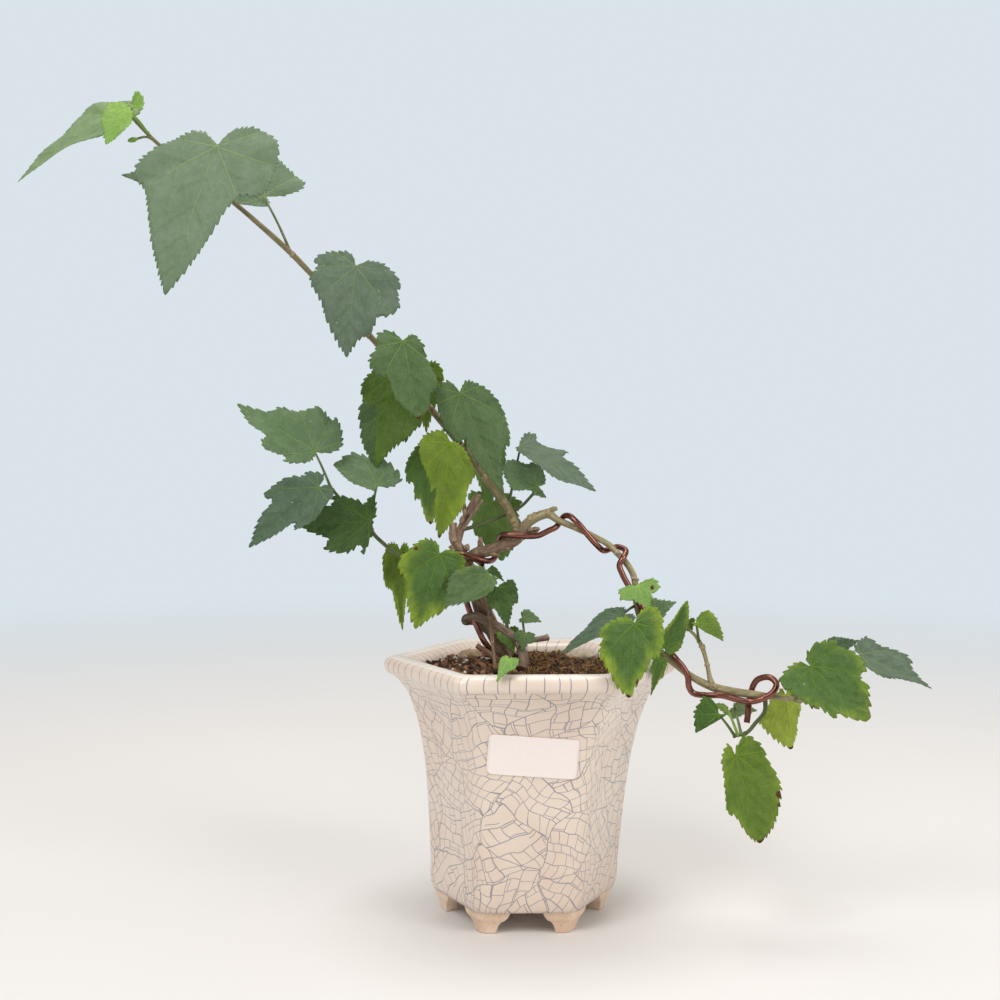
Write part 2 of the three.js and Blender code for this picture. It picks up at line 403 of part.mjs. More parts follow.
// Rings of equal length joined into a solid, with its two ends closed, or joined into a loop.
function loft(rings, looped = false) {
  const count = rings[0].length;
  const points = rings.flat();
  const triangles = [];
  const last = looped ? rings.length : rings.length - 1;
  for (let i = 0; i < last; i += 1) {
    const low = i * count;
    const high = ((i + 1) % rings.length) * count;
    for (let j = 0; j < count; j += 1) {
      const k = (j + 1) % count;
      triangles.push([low + j, low + k, high + k], [low + j, high + k, high + j]);
    }
  }
  if (!looped) {
    for (const [ring, flip] of [[0, true], [rings.length - 1, false]]) {
      const middle = rings[ring].reduce((sum, p) => sum.add(p), new THREE.Vector3()).divideScalar(count);
      const centre = points.push(middle) - 1;
      for (let j = 0; j < count; j += 1) {
        const a = ring * count + j;
        const b = ring * count + ((j + 1) % count);
        triangles.push(flip ? [centre, b, a] : [centre, a, b]);
      }
    }
  }
  return solidFrom(points, triangles);
}

// A round limb along a smooth curve; its radius follows the fourth number of each point.
function limb(path, { sides = 6, steps = 2, grow = 0 } = {}) {
  const curve = new THREE.CatmullRomCurve3(path.map(vector), false, "centripetal");
  const spans = path.length - 1;
  const rings = [];
  let side = new THREE.Vector3(0.31, -1, 0.17);
  for (let i = 0; i <= spans * steps; i += 1) {
    const t = i / (spans * steps);
    const at = curve.getPoint(t);
    const along = curve.getTangent(t);
    side = side.clone().addScaledVector(along, -side.dot(along)).normalize();
    const across = along.clone().cross(side);
    const from = Math.min(Math.floor(t * spans), spans - 1);
    const radius = mix(path[from][3], path[from + 1][3], t * spans - from) + grow;
    rings.push(Array.from({ length: sides }, (_, j) => {
      const turn = (j / sides) * 2 * Math.PI;
      return at.clone()
        .addScaledVector(side, radius * Math.cos(turn))
        .addScaledVector(across, radius * Math.sin(turn));
    }));
  }
  return loft(rings);
}

const withRadius = (route, radius) => route.map((point) => [...point, radius]);

// One level ring round the pot: six rounded corners.
function potRing(radius, corner, z) {
  const centre = radius - corner * CORNER_REACH;
  const ring = [];
  for (let k = 0; k < SIDES; k += 1) {
    const middle = POT_YAW + k * SIDE_TURN;
    for (let i = 0; i <= CORNER_STEPS; i += 1) {
      const turn = middle + (i / CORNER_STEPS - 0.5) * SIDE_TURN;
      ring.push(new THREE.Vector3(
        POT_SHIFT + POT_LEAN * z + centre * Math.cos(middle) + corner * Math.cos(turn),
        centre * Math.sin(middle) + corner * Math.sin(turn),
        z,
      ));
    }
  }
  return ring;
}

const ringOf = ([z, radius]) => potRing(radius, POT_CORNER, z);
const drainRing = (z) => potRing(DRAIN * CORNER_REACH, DRAIN, z);

// A foot follows the two sides of its corner and narrows downwards in steps.
function foot(k) {
  const middle = POT_YAW + k * SIDE_TURN;
  const radius = POT_OUTSIDE[0][1];
  const outward = new THREE.Vector3(Math.cos(middle), Math.sin(middle), 0);
  const [left, right] = [1, -1].map((hand) => {
    const along = middle + hand * 2 * SIDE_TURN;
    const inward = along + (hand * Math.PI) / 2;
    return {
      along: new THREE.Vector3(Math.cos(along), Math.sin(along), 0),
      inward: new THREE.Vector3(Math.cos(inward), Math.sin(inward), 0),
    };
  });
  const rounded = FOOT_CORNER * Math.tan(Math.PI / 6);
  const rings = FOOT_LENGTHS.map(([z, length, inset]) => {
    const middleAt = new THREE.Vector3(POT_SHIFT + POT_LEAN * z, 0, z);
    const corner = outward.clone().multiplyScalar(radius - inset).add(middleAt);
    const from = (way, distance) => corner.clone().addScaledVector(way, distance);
    return [
      from(right.along, length),
      from(right.along, rounded),
      from(outward, -FOOT_CORNER * (CORNER_REACH - 1)),
      from(left.along, rounded),
      from(left.along, length),
      from(left.along, length).addScaledVector(left.inward, FOOT_DEPTH),
      from(outward, -FOOT_DEPTH * CORNER_REACH),
      from(right.along, length).addScaledVector(right.inward, FOOT_DEPTH),
    ];
  });
  return loft(rings);
}

function pot() {
  const rings = [
    drainRing(FOOT_HEIGHT), ...POT_OUTSIDE.map(ringOf), ...POT_INSIDE.map(ringOf), drainRing(FLOOR),
  ];
  return join([loft(rings, true), ...Array.from({ length: SIDES }, (_, k) => foot(k))]);
}

function soilHeight(x, y) {
  const away = Math.min(Math.hypot(x, y) / SOIL_REACH, 1);
  const lumps = 0.5 * Math.sin(0.33 * x + 1) * Math.cos(0.29 * y) + 0.35 * Math.sin(0.61 * x - 0.47 * y);
  return SOIL_EDGE + SOIL_HEAP * (1 - away * away) + lumps;
}

// Soil fills the pot up to just under the rim; every planted thing stands in a plain hole.
function soil(planted) {
  const inside = (radius) => radius - SOIL_GAP * CORNER_REACH;
  const wall = POT_INSIDE.filter(([z]) => z < SOIL_RIM).reverse()
    .map(([z, radius]) => potRing(inside(radius), POT_CORNER, Math.max(z, FLOOR + SOIL_GAP)));
  const [, , [lowZ, lowRadius]] = POT_INSIDE;
  const [, [highZ, highRadius]] = POT_INSIDE;
  const rimRadius = mix(lowRadius, highRadius, (SOIL_RIM - lowZ) / (highZ - lowZ));
  const rim = potRing(inside(rimRadius), POT_CORNER, SOIL_RIM);
  const top = SOIL_RINGS.map((share) => rim.map((p) => {
    const x = p.x * share;
    const y = p.y * share;
    return new THREE.Vector3(x, y, soilHeight(x, y));
  }));
  const body = loft([...wall, rim, ...top]);
  return planted.reduce((left, thing) => left.subtract(thing), body);
}

function stone([x, y, z], [a, b, c], grow = 0) {
  const ball = new THREE.IcosahedronGeometry(1, 1);
  ball.scale(a + grow, b + grow, c + grow);
  ball.translate(x, y, z);
  return toSolid(ball);
}

// Distance from the pot's middle to the flat of its outside at a height.
function flatDistance(z) {
  const i = POT_OUTSIDE.findIndex(([height]) => height > z);
  const [low, high] = [POT_OUTSIDE[i - 1], POT_OUTSIDE[i]];
  return mix(low[1], high[1], (z - low[0]) / (high[0] - low[0])) / CORNER_REACH;
}

// A thin blank label that follows the front wall.
function label() {
  const upright = new THREE.Vector3(0, 0, 1);
  const point = (side, i, lift) => {
    const across = side * LABEL.width;
    const up = (i / LABEL_ROWS - 0.5) * LABEL.height;
    const x = LABEL.x + across * Math.cos(LABEL.tilt) - up * Math.sin(LABEL.tilt);
    const z = LABEL.z + across * Math.sin(LABEL.tilt) + up * Math.cos(LABEL.tilt);
    const middle = new THREE.Vector3(POT_SHIFT + POT_LEAN * z, 0, 0);
    return new THREE.Vector3(x, -flatDistance(z) - lift, z).sub(middle)
      .applyAxisAngle(upright, POT_YAW).add(middle);
  };
  const rings = Array.from({ length: LABEL_ROWS + 1 }, (_, i) => [
    point(-0.5, i, GAP), point(-0.5, i, GAP + LABEL_THICKNESS),
    point(0.5, i, GAP + LABEL_THICKNESS), point(0.5, i, GAP),
  ]);
  return loft(rings);
}

// Half of a blade's outline as [along the midrib, across], for a blade one long and one wide.
function halfOutline(shape) {
  const lobed = Math.max(shape, 0);
  const oval = Math.max(-shape, 0);
  return [
    [-0.02, 0.012], [-0.07, 0.09], [-0.09, 0.22], [-0.07, 0.36], [0.04, 0.48], [0.19, 0.5],
    [0.39 + 0.05 * lobed, 0.4 + 0.1 * lobed + 0.09 * oval], [0.49, 0.335 - 0.1 * lobed + 0.12 * oval],
    [0.62, 0.25 - 0.06 * lobed + 0.16 * oval], [0.8, 0.125 - 0.02 * lobed + 0.15 * oval],
    [0.92, 0.045 + 0.08 * oval], [1, 0.004],
  ].map(([u, v]) => new THREE.Vector2(u, v));
}

// Half of a leaf's outline from its own points where it has them, or else the general one.
function halfMargin(name, side, shape, length, width) {
  const own = MARGINS[name]?.[side];
  if (!own) return halfOutline(shape);
  return [
    new THREE.Vector2(-0.02, 0.004),
    ...own.map(([degrees, reach]) => {
      const turn = THREE.MathUtils.degToRad(degrees);
      return new THREE.Vector2((reach * Math.cos(turn)) / length, (reach * Math.sin(turn)) / (2 * width));
    }),
    new THREE.Vector2(1, 0.004),
  ];
}

// Points along half a margin, from the stalk to the tip, set out and in by turns as teeth.
function margin(half, teeth, size) {
  const points = new THREE.SplineCurve(half).getSpacedPoints(2 * teeth);
  return points.map((point, i) => {
    if (i === 0 || i === 2 * teeth) return { plain: point, cut: point };
    const along = points[i + 1].clone().sub(points[i - 1]).normalize();
    const reach = i % 2 ? size : -0.5 * size;
    const cut = point.clone().add(new THREE.Vector2(-along.y, along.x).multiplyScalar(reach));
    return { plain: point, cut: cut.addScaledVector(along, 0.4 * reach) };
  });
}

// A toothed blade: a margin ring, a ring half way in and the stalk's point, alike on both faces.
function blade(name, base, tip, face, widths, shapes, fold, droop) {
  const start = vector(base);
  const chord = vector(tip).sub(start);
  const bend = THREE.MathUtils.degToRad(droop);
  const length = chord.length() / ((2 * Math.sin(bend / 2)) / bend);
  const ahead = chord.clone().normalize();
  const up = vector(face).addScaledVector(ahead, -vector(face).dot(ahead)).normalize();
  const forward = ahead.clone().multiplyScalar(Math.cos(bend / 2)).addScaledVector(up, Math.sin(bend / 2));
  const normal = up.clone().multiplyScalar(Math.cos(bend / 2)).addScaledVector(ahead, -Math.sin(bend / 2));
  const across = normal.clone().cross(forward);
  const wing = THREE.MathUtils.degToRad(fold);

  // A point of the blade from its place on the flat outline: folded, rippled, then bent downwards.
  const place = (u, v, side) => {
    const turn = bend * Math.max(u, 0);
    const out = v * 2 * widths[side];
    const ripple = RIPPLE * length * Math.sin(RIPPLE_TURN * u + 2 * side) * (2 * v) ** 2;
    const lift = (out * Math.sin(wing) * out) / (out + RIB_FLAT) + ripple;
    const along = u < 0 ? length * u : (length * Math.sin(turn)) / bend;
    const down = (length * (1 - Math.cos(turn))) / bend;
    return start.clone()
      .addScaledVector(forward, along + lift * Math.sin(turn))
      .addScaledVector(normal, lift * Math.cos(turn) - down)
      .addScaledVector(across, (side ? 1 : -1) * out * Math.cos(wing));
  };

  const teeth = length >= BIG_LEAF ? TEETH.big : TEETH.small;
  const [left, right] = shapes.map((shape, side) => {
    const half = halfMargin(name, side, shape, length, widths[side]);
    return margin(half, teeth, TOOTH + TOOTH_LEAST / length);
  });
  const whole = [
    ...right.map((point) => ({ ...point, side: 1 })),
    ...left.slice(0, -1).reverse().map((point) => ({ ...point, side: 0 })),
  ];
  const middle = [place(0, 0, 0)];
  const inner = whole.filter((_, i) => i % 2 === 0)
    .map(({ plain, side }) => place(plain.x * INNER, plain.y * INNER, side));
  const outer = whole.map(({ cut, side }) => place(cut.x, cut.y, side));
  const points = [...middle, ...inner, ...outer];
  const innerAt = (i) => 1 + (i % inner.length);
  const outerAt = (i) => 1 + inner.length + (i % outer.length);
  const faces = [];
  for (let i = 0; i < inner.length; i += 1) {
    faces.push([0, innerAt(i), innerAt(i + 1)]);
    if (i === inner.length - 1) {
      faces.push([innerAt(i), outerAt(2 * i), outerAt(0)], [innerAt(i), outerAt(0), innerAt(0)]);
    } else {
      faces.push(
        [innerAt(i), outerAt(2 * i), outerAt(2 * i + 1)],
        [innerAt(i), outerAt(2 * i + 1), innerAt(i + 1)],
        [innerAt(i + 1), outerAt(2 * i + 1), outerAt(2 * i + 2)],
      );
    }
  }
  return thicken(points, faces, outer.map((_, i) => outerAt(i)));
}

// A sheet of triangles made into a solid by moving a copy of it to each side.
function thicken(points, faces, edge) {
  const normals = points.map(() => new THREE.Vector3());
  for (const [a, b, c] of faces) {
    const normal = points[b].clone().sub(points[a]).cross(points[c].clone().sub(points[a]));
    for (const i of [a, b, c]) normals[i].add(normal);
  }
  const side = (sign) => points.map((p, i) => {
    const normal = normals[i].clone().normalize();
    return p.clone().addScaledVector(normal, (sign * BLADE) / 2);
  });
  const count = points.length;
  const triangles = [...faces, ...faces.map(([a, b, c]) => [a + count, c + count, b + count])];
  edge.forEach((a, i) => {
    const b = edge[(i + 1) % edge.length];
    triangles.push([b, a, a + count], [b, a + count, b + count]);
  });
  return solidFrom([...side(1), ...side(-1)], triangles);
}

// A stalk that rises a little on its way from the wood to the blade.
function stalk(from, base, grow = 0) {
  const [a, b] = [vector(from), vector(base)];
  const bow = new THREE.Vector3(0, 0, STALK_BOW * a.distanceTo(b));
  const path = [a, a.clone().lerp(b, 0.5).add(bow), b].map((p) => [p.x, p.y, p.z, PETIOLE + grow]);
  return limb(path, { sides: 4, steps: 1 });
}

function named(name, solid, colour, roughness = 0.7, metalness = 0) {
  const geometry = toGeometry(solid);
  geometry.computeVertexNormals();
  const material = new THREE.MeshStandardMaterial({ color: colour, roughness, metalness });
  const mesh = new THREE.Mesh(geometry, material);
  mesh.name = name;
  return mesh;
}

// The wood, once at its size and once grown by the gap, so that what meets it can be cut back.
const woods = {
  trunk: (grow) => join([
    ...TRUNK.map((path) => limb(path, { sides: 6, grow })),
    limb(LOOP_ROOT, { steps: 1, grow }),
    ...LIMBS.map((path) => limb(path, { steps: 1, grow })),
    limb(THIN_TWIG, { sides: 5, steps: 1, grow }),
  ]),
  leader: (grow) => join([
    limb(LEADER, { steps: 1, grow }),
    limb(FLOWER_STALK, { sides: 5, steps: 1, grow }),
    limb(FLOWER_BUD, { steps: 1, grow }),
    limb(LEAF_BUD, { steps: 1, grow }),
  ]),
  cascade: (grow) => join([
    limb(CASCADE, { steps: 1, grow }),
    ...[CASCADE_STUB, RISING_TWIG, HANGING_TWIG].map((path) => limb(path, { sides: 5, steps: 1, grow })),
  ]),
  left_twig: (grow) => join([LEFT_TWIG, LEFT_FORK].map((path) => limb(path, { sides: 5, steps: 1, grow }))),
  stick: (grow) => limb(STICK, { sides: 5, steps: 1, grow }),
  cut_twig: (grow) => limb(CUT_TWIG, { grow }),
};
const barks = {
  trunk: COLOURS.bark, leader: COLOURS.greenBark, cascade: COLOURS.oliveBark,
  left_twig: COLOURS.greenBark, stick: COLOURS.bark, cut_twig: COLOURS.bark,
};
const wires = {
  training_wire: (grow) => limb(withRadius(WIRE_ROUTE, WIRE + grow), { sides: 5, steps: 1 }),
  wire_end: (grow) => limb(withRadius(WIRE_END, WIRE + grow), { sides: 8 }),
};
const grown = Object.fromEntries(Object.entries(woods).map(([name, make]) => [name, make(GAP)]));

const plant = new THREE.Group();
plant.add(named("pot", pot(), COLOURS.glaze, 0.3));
plant.add(named("pot_label", label(), COLOURS.paper, 0.6));
for (const [name, make] of Object.entries(woods)) {
  let solid = make(0);
  if (["leader", "cascade", "left_twig"].includes(name)) solid = solid.subtract(grown.trunk);
  if (name === "cascade") solid = solid.subtract(grown.leader);
  plant.add(named(name, solid, barks[name], 0.85));
}
for (const [name, make] of Object.entries(wires)) {
  const solid = make(0).subtract(grown.trunk).subtract(grown.cascade);
  plant.add(named(name, solid, COLOURS.wire, 0.35, 0.8));
}

const planted = [
  grown.trunk, grown.stick, grown.cut_twig,
  ...Object.values(wires).map((make) => make(GAP)),
  ...STONES.map(([, at, halves]) => stone(at, halves, GAP)),
];
for (const [name, wood, from, base, tip, face, widths, shapes, fold, droop, tone] of LEAVES) {
  const leaf = blade(name, base, tip, face, widths, shapes, fold, droop);
  const whole = join([stalk(from, base), leaf]);
  if (wood === "soil") planted.push(stalk(from, base, GAP));
  plant.add(named(`leaf_${name}`, wood === "soil" ? whole : whole.subtract(grown[wood]), COLOURS[tone], 0.6));
}
for (const [name, at, halves] of STONES) plant.add(named(name, stone(at, halves), COLOURS.stone, 0.9));
plant.add(named("soil", soil(planted), COLOURS.soil, 0.95));

// Stand the plant centred on the origin.
const box = new THREE.Box3().setFromObject(plant, true);
plant.position.set(-(box.min.x + box.max.x) / 2, -(box.min.y + box.max.y) / 2, -box.min.z);
const part = new THREE.Group();
part.add(plant);

export default part;
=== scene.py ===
import math
import random

import bmesh
import bpy
import numpy as np
from mathutils import Matrix, Vector, noise


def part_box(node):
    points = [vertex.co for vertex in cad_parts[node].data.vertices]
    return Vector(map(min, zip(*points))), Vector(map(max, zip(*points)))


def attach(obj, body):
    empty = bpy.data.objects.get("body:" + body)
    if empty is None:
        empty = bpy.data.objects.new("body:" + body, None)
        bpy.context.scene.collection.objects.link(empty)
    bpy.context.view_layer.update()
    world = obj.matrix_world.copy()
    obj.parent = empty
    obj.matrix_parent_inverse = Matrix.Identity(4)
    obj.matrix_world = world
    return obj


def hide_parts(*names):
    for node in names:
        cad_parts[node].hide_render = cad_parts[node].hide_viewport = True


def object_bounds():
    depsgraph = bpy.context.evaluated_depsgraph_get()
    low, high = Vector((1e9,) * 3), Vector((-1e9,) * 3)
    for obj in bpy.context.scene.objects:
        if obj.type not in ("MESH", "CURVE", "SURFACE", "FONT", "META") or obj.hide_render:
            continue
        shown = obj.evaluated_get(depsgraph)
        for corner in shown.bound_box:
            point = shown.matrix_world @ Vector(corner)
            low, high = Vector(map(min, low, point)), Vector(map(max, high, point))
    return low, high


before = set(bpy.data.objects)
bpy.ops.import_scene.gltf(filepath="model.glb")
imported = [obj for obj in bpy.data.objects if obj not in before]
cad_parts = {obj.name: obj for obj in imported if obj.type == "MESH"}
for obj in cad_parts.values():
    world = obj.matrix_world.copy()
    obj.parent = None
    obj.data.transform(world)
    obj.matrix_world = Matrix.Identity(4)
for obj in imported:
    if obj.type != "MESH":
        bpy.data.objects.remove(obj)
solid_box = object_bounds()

MM = 0.001
STONE_PALE = (30, 26, 124.6)
STONE_TAN = (-28.6, 25, 124.6)
# Half sizes of the two stones.
PALE_SIZES = (8, 6, 3.2)
TAN_SIZES = (6.4, 5, 3.4)
box_low, box_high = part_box("stone_pale")
SHIFT = np.array((box_low + box_high) / 2) - np.array(STONE_PALE) * MM

# The camera at the photograph's place: level, with its picture shifted down to the pot.
CAMERA_AT = (-12.9, -655, 229)
CAMERA_SHIFT = -0.0424
CAMERA_LENS = 46.55
CAMERA_SENSOR = 36

# Pot: six sides with rounded corners, a flared rim and a foot under each corner.
POT_YAW = math.radians(1.4)
POT_LEAN = 0.033
POT_SHIFT = -1.5
POT_CORNER = 8
SIDE_TURN = math.radians(60)
CORNER_REACH = 1 / math.sin(math.pi / 3)
FOOT_HEIGHT = 12.4
FLOOR = 19
DRAIN = 8
POT_OUTSIDE = [
  # height, distance from the middle to an unrounded corner
  [12.4, 46.8], [15.6, 48], [30, 48.8], [60, 51.2], [76, 53.1], [91, 56], [99, 58.2], [106, 60.7],
  [111, 63], [116, 67], [119.5, 70.6], [121, 73.6], [123, 75.2], [125.5, 75.4],
  [127.6, 74], [128.8, 71], [128.9, 67],
]
WIDEST = 75.3  # keeps the smooth rim inside the plain solid
POT_INSIDE = [[127.2, 60.5], [125.5, 58], [118, 56], [100, 51], [70, 46], [26, 42.6], [FLOOR, 39]]
FOOT_LENGTHS = [
  # height, length of a foot along each side of its corner, how far inside the pot's corner it stands
  [1.2, 6.6, 5], [4.4, 8, 4], [6.8, 9.8, 3.2], [8.6, 12.8, 2.2], [14, 16.2, 1],
]
FOOT_DEPTH = 7
FOOT_CORNER = 5
LIP_LOW = 121  # above this height the cracks run upright, across the lip
SOIL_EDGE = 123.6
SOIL_HEAP = 2.2
SOIL_RIM = 122.6
SOIL_REACH = 58
TRUNK = [
  [[-7, 9, 104, 2.4], [-9.5, 7, 118, 3.2], [-10.8, 6, 126, 3.3], [-14.4, 5, 136, 3.2], [-19, 4, 147, 3.3],
    [-23.4, 3, 156, 3.3], [-26.2, 2, 167, 2.9], [-29, 0.5, 175, 2.6], [-32.5, 0, 182, 2.4],
    [-36.5, 0, 188, 2.1], [-36.6, 0, 196, 1.7]],
  [[-6, 12, 112, 1.6], [-8.5, 9, 125, 2.1], [-13, 7.5, 137, 2.1], [-17, 2.5, 147, 2.2],
    [-21.5, 0.8, 156, 2.2], [-24.5, -0.6, 164, 1.9], [-27.6, -0.8, 172, 1.7], [-28.5, 0, 178, 1.6]],
  [[-13.5, 4, 130, 1.6], [-19, 5.5, 141, 2], [-23.6, 4.8, 150, 2.2], [-26, 2, 158, 2.1],
    [-28, 3.6, 166, 1.7], [-29.6, 2.4, 174, 1.5]],
]
LOOP_ROOT = [
  [-17, 6, 138.5, 1.8], [-26, 5, 145.5, 2.1], [-30.2, 0.6, 146.2, 2.2], [-29.6, -4.6, 148.3, 2.2],
  [-25.5, -6.6, 149.4, 2.2], [-20, -6.8, 147, 2.1], [-12.4, -7.6, 143.8, 2], [-5.4, -9, 138.8, 2],
  [-2, -10, 133, 2.2], [-1, -10.5, 128, 2.8], [-2, -10, 116, 2.6],
]
LIMBS = [
  [[-29.5, 0, 177, 2.6], [-25, 0, 180.5, 2.9], [-17.7, 0, 182.2, 3], [-10.4, 0, 185.2, 3],
    [-5, 0, 187.4, 3], [-2.6, 0, 190.6, 3.2], [-0.4, 0, 193.4, 2.6]], # level limb to the fork
  [[-34.5, 0, 186, 2.1], [-33, 1, 192, 2.1], [-29.2, 2, 200, 2], [-24.6, 3, 209.5, 1.9]], # tall cut limb
  [[-30, 1.6, 198.4, 1.4], [-31.4, 0.4, 205.6, 1.1]], # short cut beside it
  [[-31.5, 0, 193, 1.1], [-29.1, -2.6, 196.6, 0.9], [-21.7, -3, 207.5, 0.8]], # dark dead twig
  [[-22.8, 0, 182, 1.8], [-22.8, -1, 188.4, 1]], # stub on the level limb
  [[-3, 1, 189, 2.5], [3, 1.5, 191, 2], [6.6, 2, 192.4, 0.8]], # torn end under the fork
  [[-8.6, -8.6, 141, 1.6], [-3.6, -13, 138.2, 1.5]], # round stub on the looping root
  [[-4.4, -9.2, 137.6, 1.4], [3, -2.4, 137, 1.4], [10.5, 3, 137.3, 1.5]], # cut shoot behind it
]
STICK = [[-19, -10.4, 162, 0.8], [-18, -10.6, 151, 0.9], [-17, -10.4, 141, 0.9], [-15.8, -10, 130, 1],
  [-14.8, -9.6, 117, 1]]
CUT_TWIG = [[-24.6, -6.2, 134.8, 1.3], [-18, -5.8, 130.4, 1.4], [-12, -5.2, 125.2, 1.5], [-8, -5, 116, 1.5]]
LEADER = [
  [-3.4, 0, 190.6, 2.5], [-6.8, 0, 199, 2.3], [-10.5, 0, 205.6, 2.5], [-20, 1, 218.6, 2.1],
  [-31.7, 2, 233.9, 1.9], [-48, 3, 253.7, 1.7], [-75.6, 4, 286.9, 1.5], [-80.2, 4, 292, 1.6],
  [-108.6, 3, 321.9, 1.35], [-118.6, 2, 332.4, 1.5], [-147.6, 0, 358, 1.2], [-183.8, -3, 385.9, 1],
  [-192.6, -4, 394.4, 0.9], [-197.7, -4, 400, 0.9],
]
FLOWER_STALK = [[-187, -3.3, 388.6, 0.6], [-190.6, -5, 390.2, 0.6], [-195.6, -7, 388.6, 0.6]]
FLOWER_BUD = [[-194.6, -6.6, 388.9, 0.6], [-196.4, -7.2, 388.3, 1.4], [-198, -7.6, 387.8, 1.1],
  [-199, -8, 387.4, 0.5]]
LEAF_BUD = [
  [-197.2, -3.8, 398.8, 0.7], [-198.6, -2, 402, 0.8], [-198, -0.6, 406, 2.4], [-196.6, 0.6, 411, 2.2],
  [-195.8, 1.2, 415.4, 0.5],
]
CASCADE = [
  [-1.6, 0, 192.6, 2.6], [2.3, -1, 196.9, 2.5], [11.1, -2, 200.5, 2.3], [16.3, -3, 197.5, 1.7],
  [25.6, -4, 193.5, 1.6], [33.9, -5, 189.6, 1.5], [41.7, -7, 185.2, 1.5], [45.6, -8, 181.3, 1.5],
  [50.5, -10, 175.9, 1.6], [53.7, -12, 169.6, 1.6], [54.8, -16, 155.7, 1.6], [58.4, -19, 144.2, 1.6],
  [65.3, -23, 134.5, 1.6], [72.2, -26, 128.6, 1.6], [81.2, -28, 122.1, 1.7], [90.2, -29, 117.9, 2.1],
  [101.2, -30, 115.7, 2], [111.1, -31, 114.4, 1.9], [119.3, -31, 113.5, 1.4], [128, -31, 112.5, 1.2],
  [132.4, -31, 111.8, 1.6],
]
CASCADE_STUB = [[9.6, -2, 200.2, 1.9], [14.8, -2, 203.4, 1.3]]
THIN_TWIG = [
  [-32, 0.4, 192.4, 1], [-26, -1.2, 194.1, 0.9], [-20.5, 1.4, 195.8, 0.85], [-9.8, 4.6, 200.1, 0.8],
  [-1.9, 4.6, 204.3, 0.8], [4.4, 3, 211, 0.75],
]
LEFT_TWIG = [
  [-26, 3, 160, 1.2], [-35, 4.4, 162.5, 1.2], [-43.5, 5.2, 167, 1.15], [-53.7, 6, 172.6, 1.1],
  [-63.5, 6, 178.2, 1.1], [-72.2, 6, 184.8, 1], [-78.2, 5, 191.5, 1], [-78.6, 4, 199.7, 0.85],
  [-77.2, 3, 207, 0.8],
]
LEFT_FORK = [[-78.2, 5, 191.2, 0.95], [-89.2, 4.4, 202.3, 0.85], [-99.6, 2.6, 214.4, 0.8]]
RISING_TWIG = [
  [90.4, -29, 117.6, 1.7], [88.8, -29, 122, 1.3], [87.5, -28, 129, 0.95], [85.2, -27.4, 137, 1.1],
  [82, -27, 142.4, 0.8], [77.6, -27, 146.6, 0.75],
]
HANGING_TWIG = [[115, -31, 113.8, 1.2], [114.6, -32.4, 107, 1], [109.4, -35, 101.5, 0.95],
  [105, -36, 97.2, 0.9], [98.8, -36, 95.7, 0.8]]
WIRE_ROUTE = [
  [-12.5, -0.5, 114], [-14.6, -1, 127.5], [-17.8, -2, 132.3], [-21, -3, 136.5], [-23.7, -3, 142],
  [-25.9, -3, 147], [-28.4, -2.4, 152], [-29.9, -2, 157], [-30.4, -3.4, 162], [-28.6, -5.2, 167.4],
  [-24.8, -5.2, 171.2], [-22.3, -2.6, 173.6], [-22.8, 2, 175.4], [-26.4, 5.4, 177.4], [-31.4, 5, 179.4],
  [-35.6, 1, 180.6], [-34, -3.6, 180.8], [-30.6, -5.2, 180.4], [-26.4, -5.4, 178.8], [-22, -4.8, 177.4],
  [-18.6, -2.4, 176.8], [-16, 1.8, 177.6], [-14.4, 4.8, 181.6], [-13.6, 3.6, 187], [-12.4, -0.6, 189.4],
  [-9.8, -4.2, 190.2], [-1.8, -5.6, 189.6], [6.2, -4.4, 189.8], [11.7, -3.2, 192.2], [15.4, -1.8, 193.9],
  [17.6, 0.6, 196.6], [19.6, -1.4, 199.4], [22.2, -4.6, 199.6], [24.6, -7, 197.6], [27, -8, 195.2],
  [31.4, -8.4, 189.8], [35.6, -8.2, 185.2], [39.4, -4.8, 182.2], [42.8, -3.2, 183], [46.4, -4, 184],
  [50, -8, 182.4], [48.2, -12.4, 179], [46.4, -13, 175.6], [48, -14.6, 170.6], [51.4, -16.8, 164.4],
  [55.9, -19.6, 157], [61, -20.4, 147.6], [65.8, -20.6, 140.4], [69, -24.6, 135.8], [72.4, -29.6, 131.4],
  [76, -30.8, 127], [77.8, -31.4, 122.8], [78.2, -31.4, 118.6], [80.3, -31, 115.4], [86.2, -31.6, 114.4],
  [93.6, -33, 114.6], [100.4, -33, 112.8], [106.7, -33.2, 111.6], [112, -35.2, 113.1], [116, -35.2, 115],
  [118.8, -34.6, 117.4], [120, -33, 120.2], [117.4, -30, 122.8], [112.3, -27, 121.2],
  [110.3, -26.2, 118.2], [109, -26.2, 113.9], [107.8, -28, 110.1], [107.1, -29.5, 105.6],
  [106.3, -30.5, 101],
]
WIRE_RADIUS = 1.5
WIRE_END = [[-3.2, -20, 114], [-3.2, -20, 126.8]]
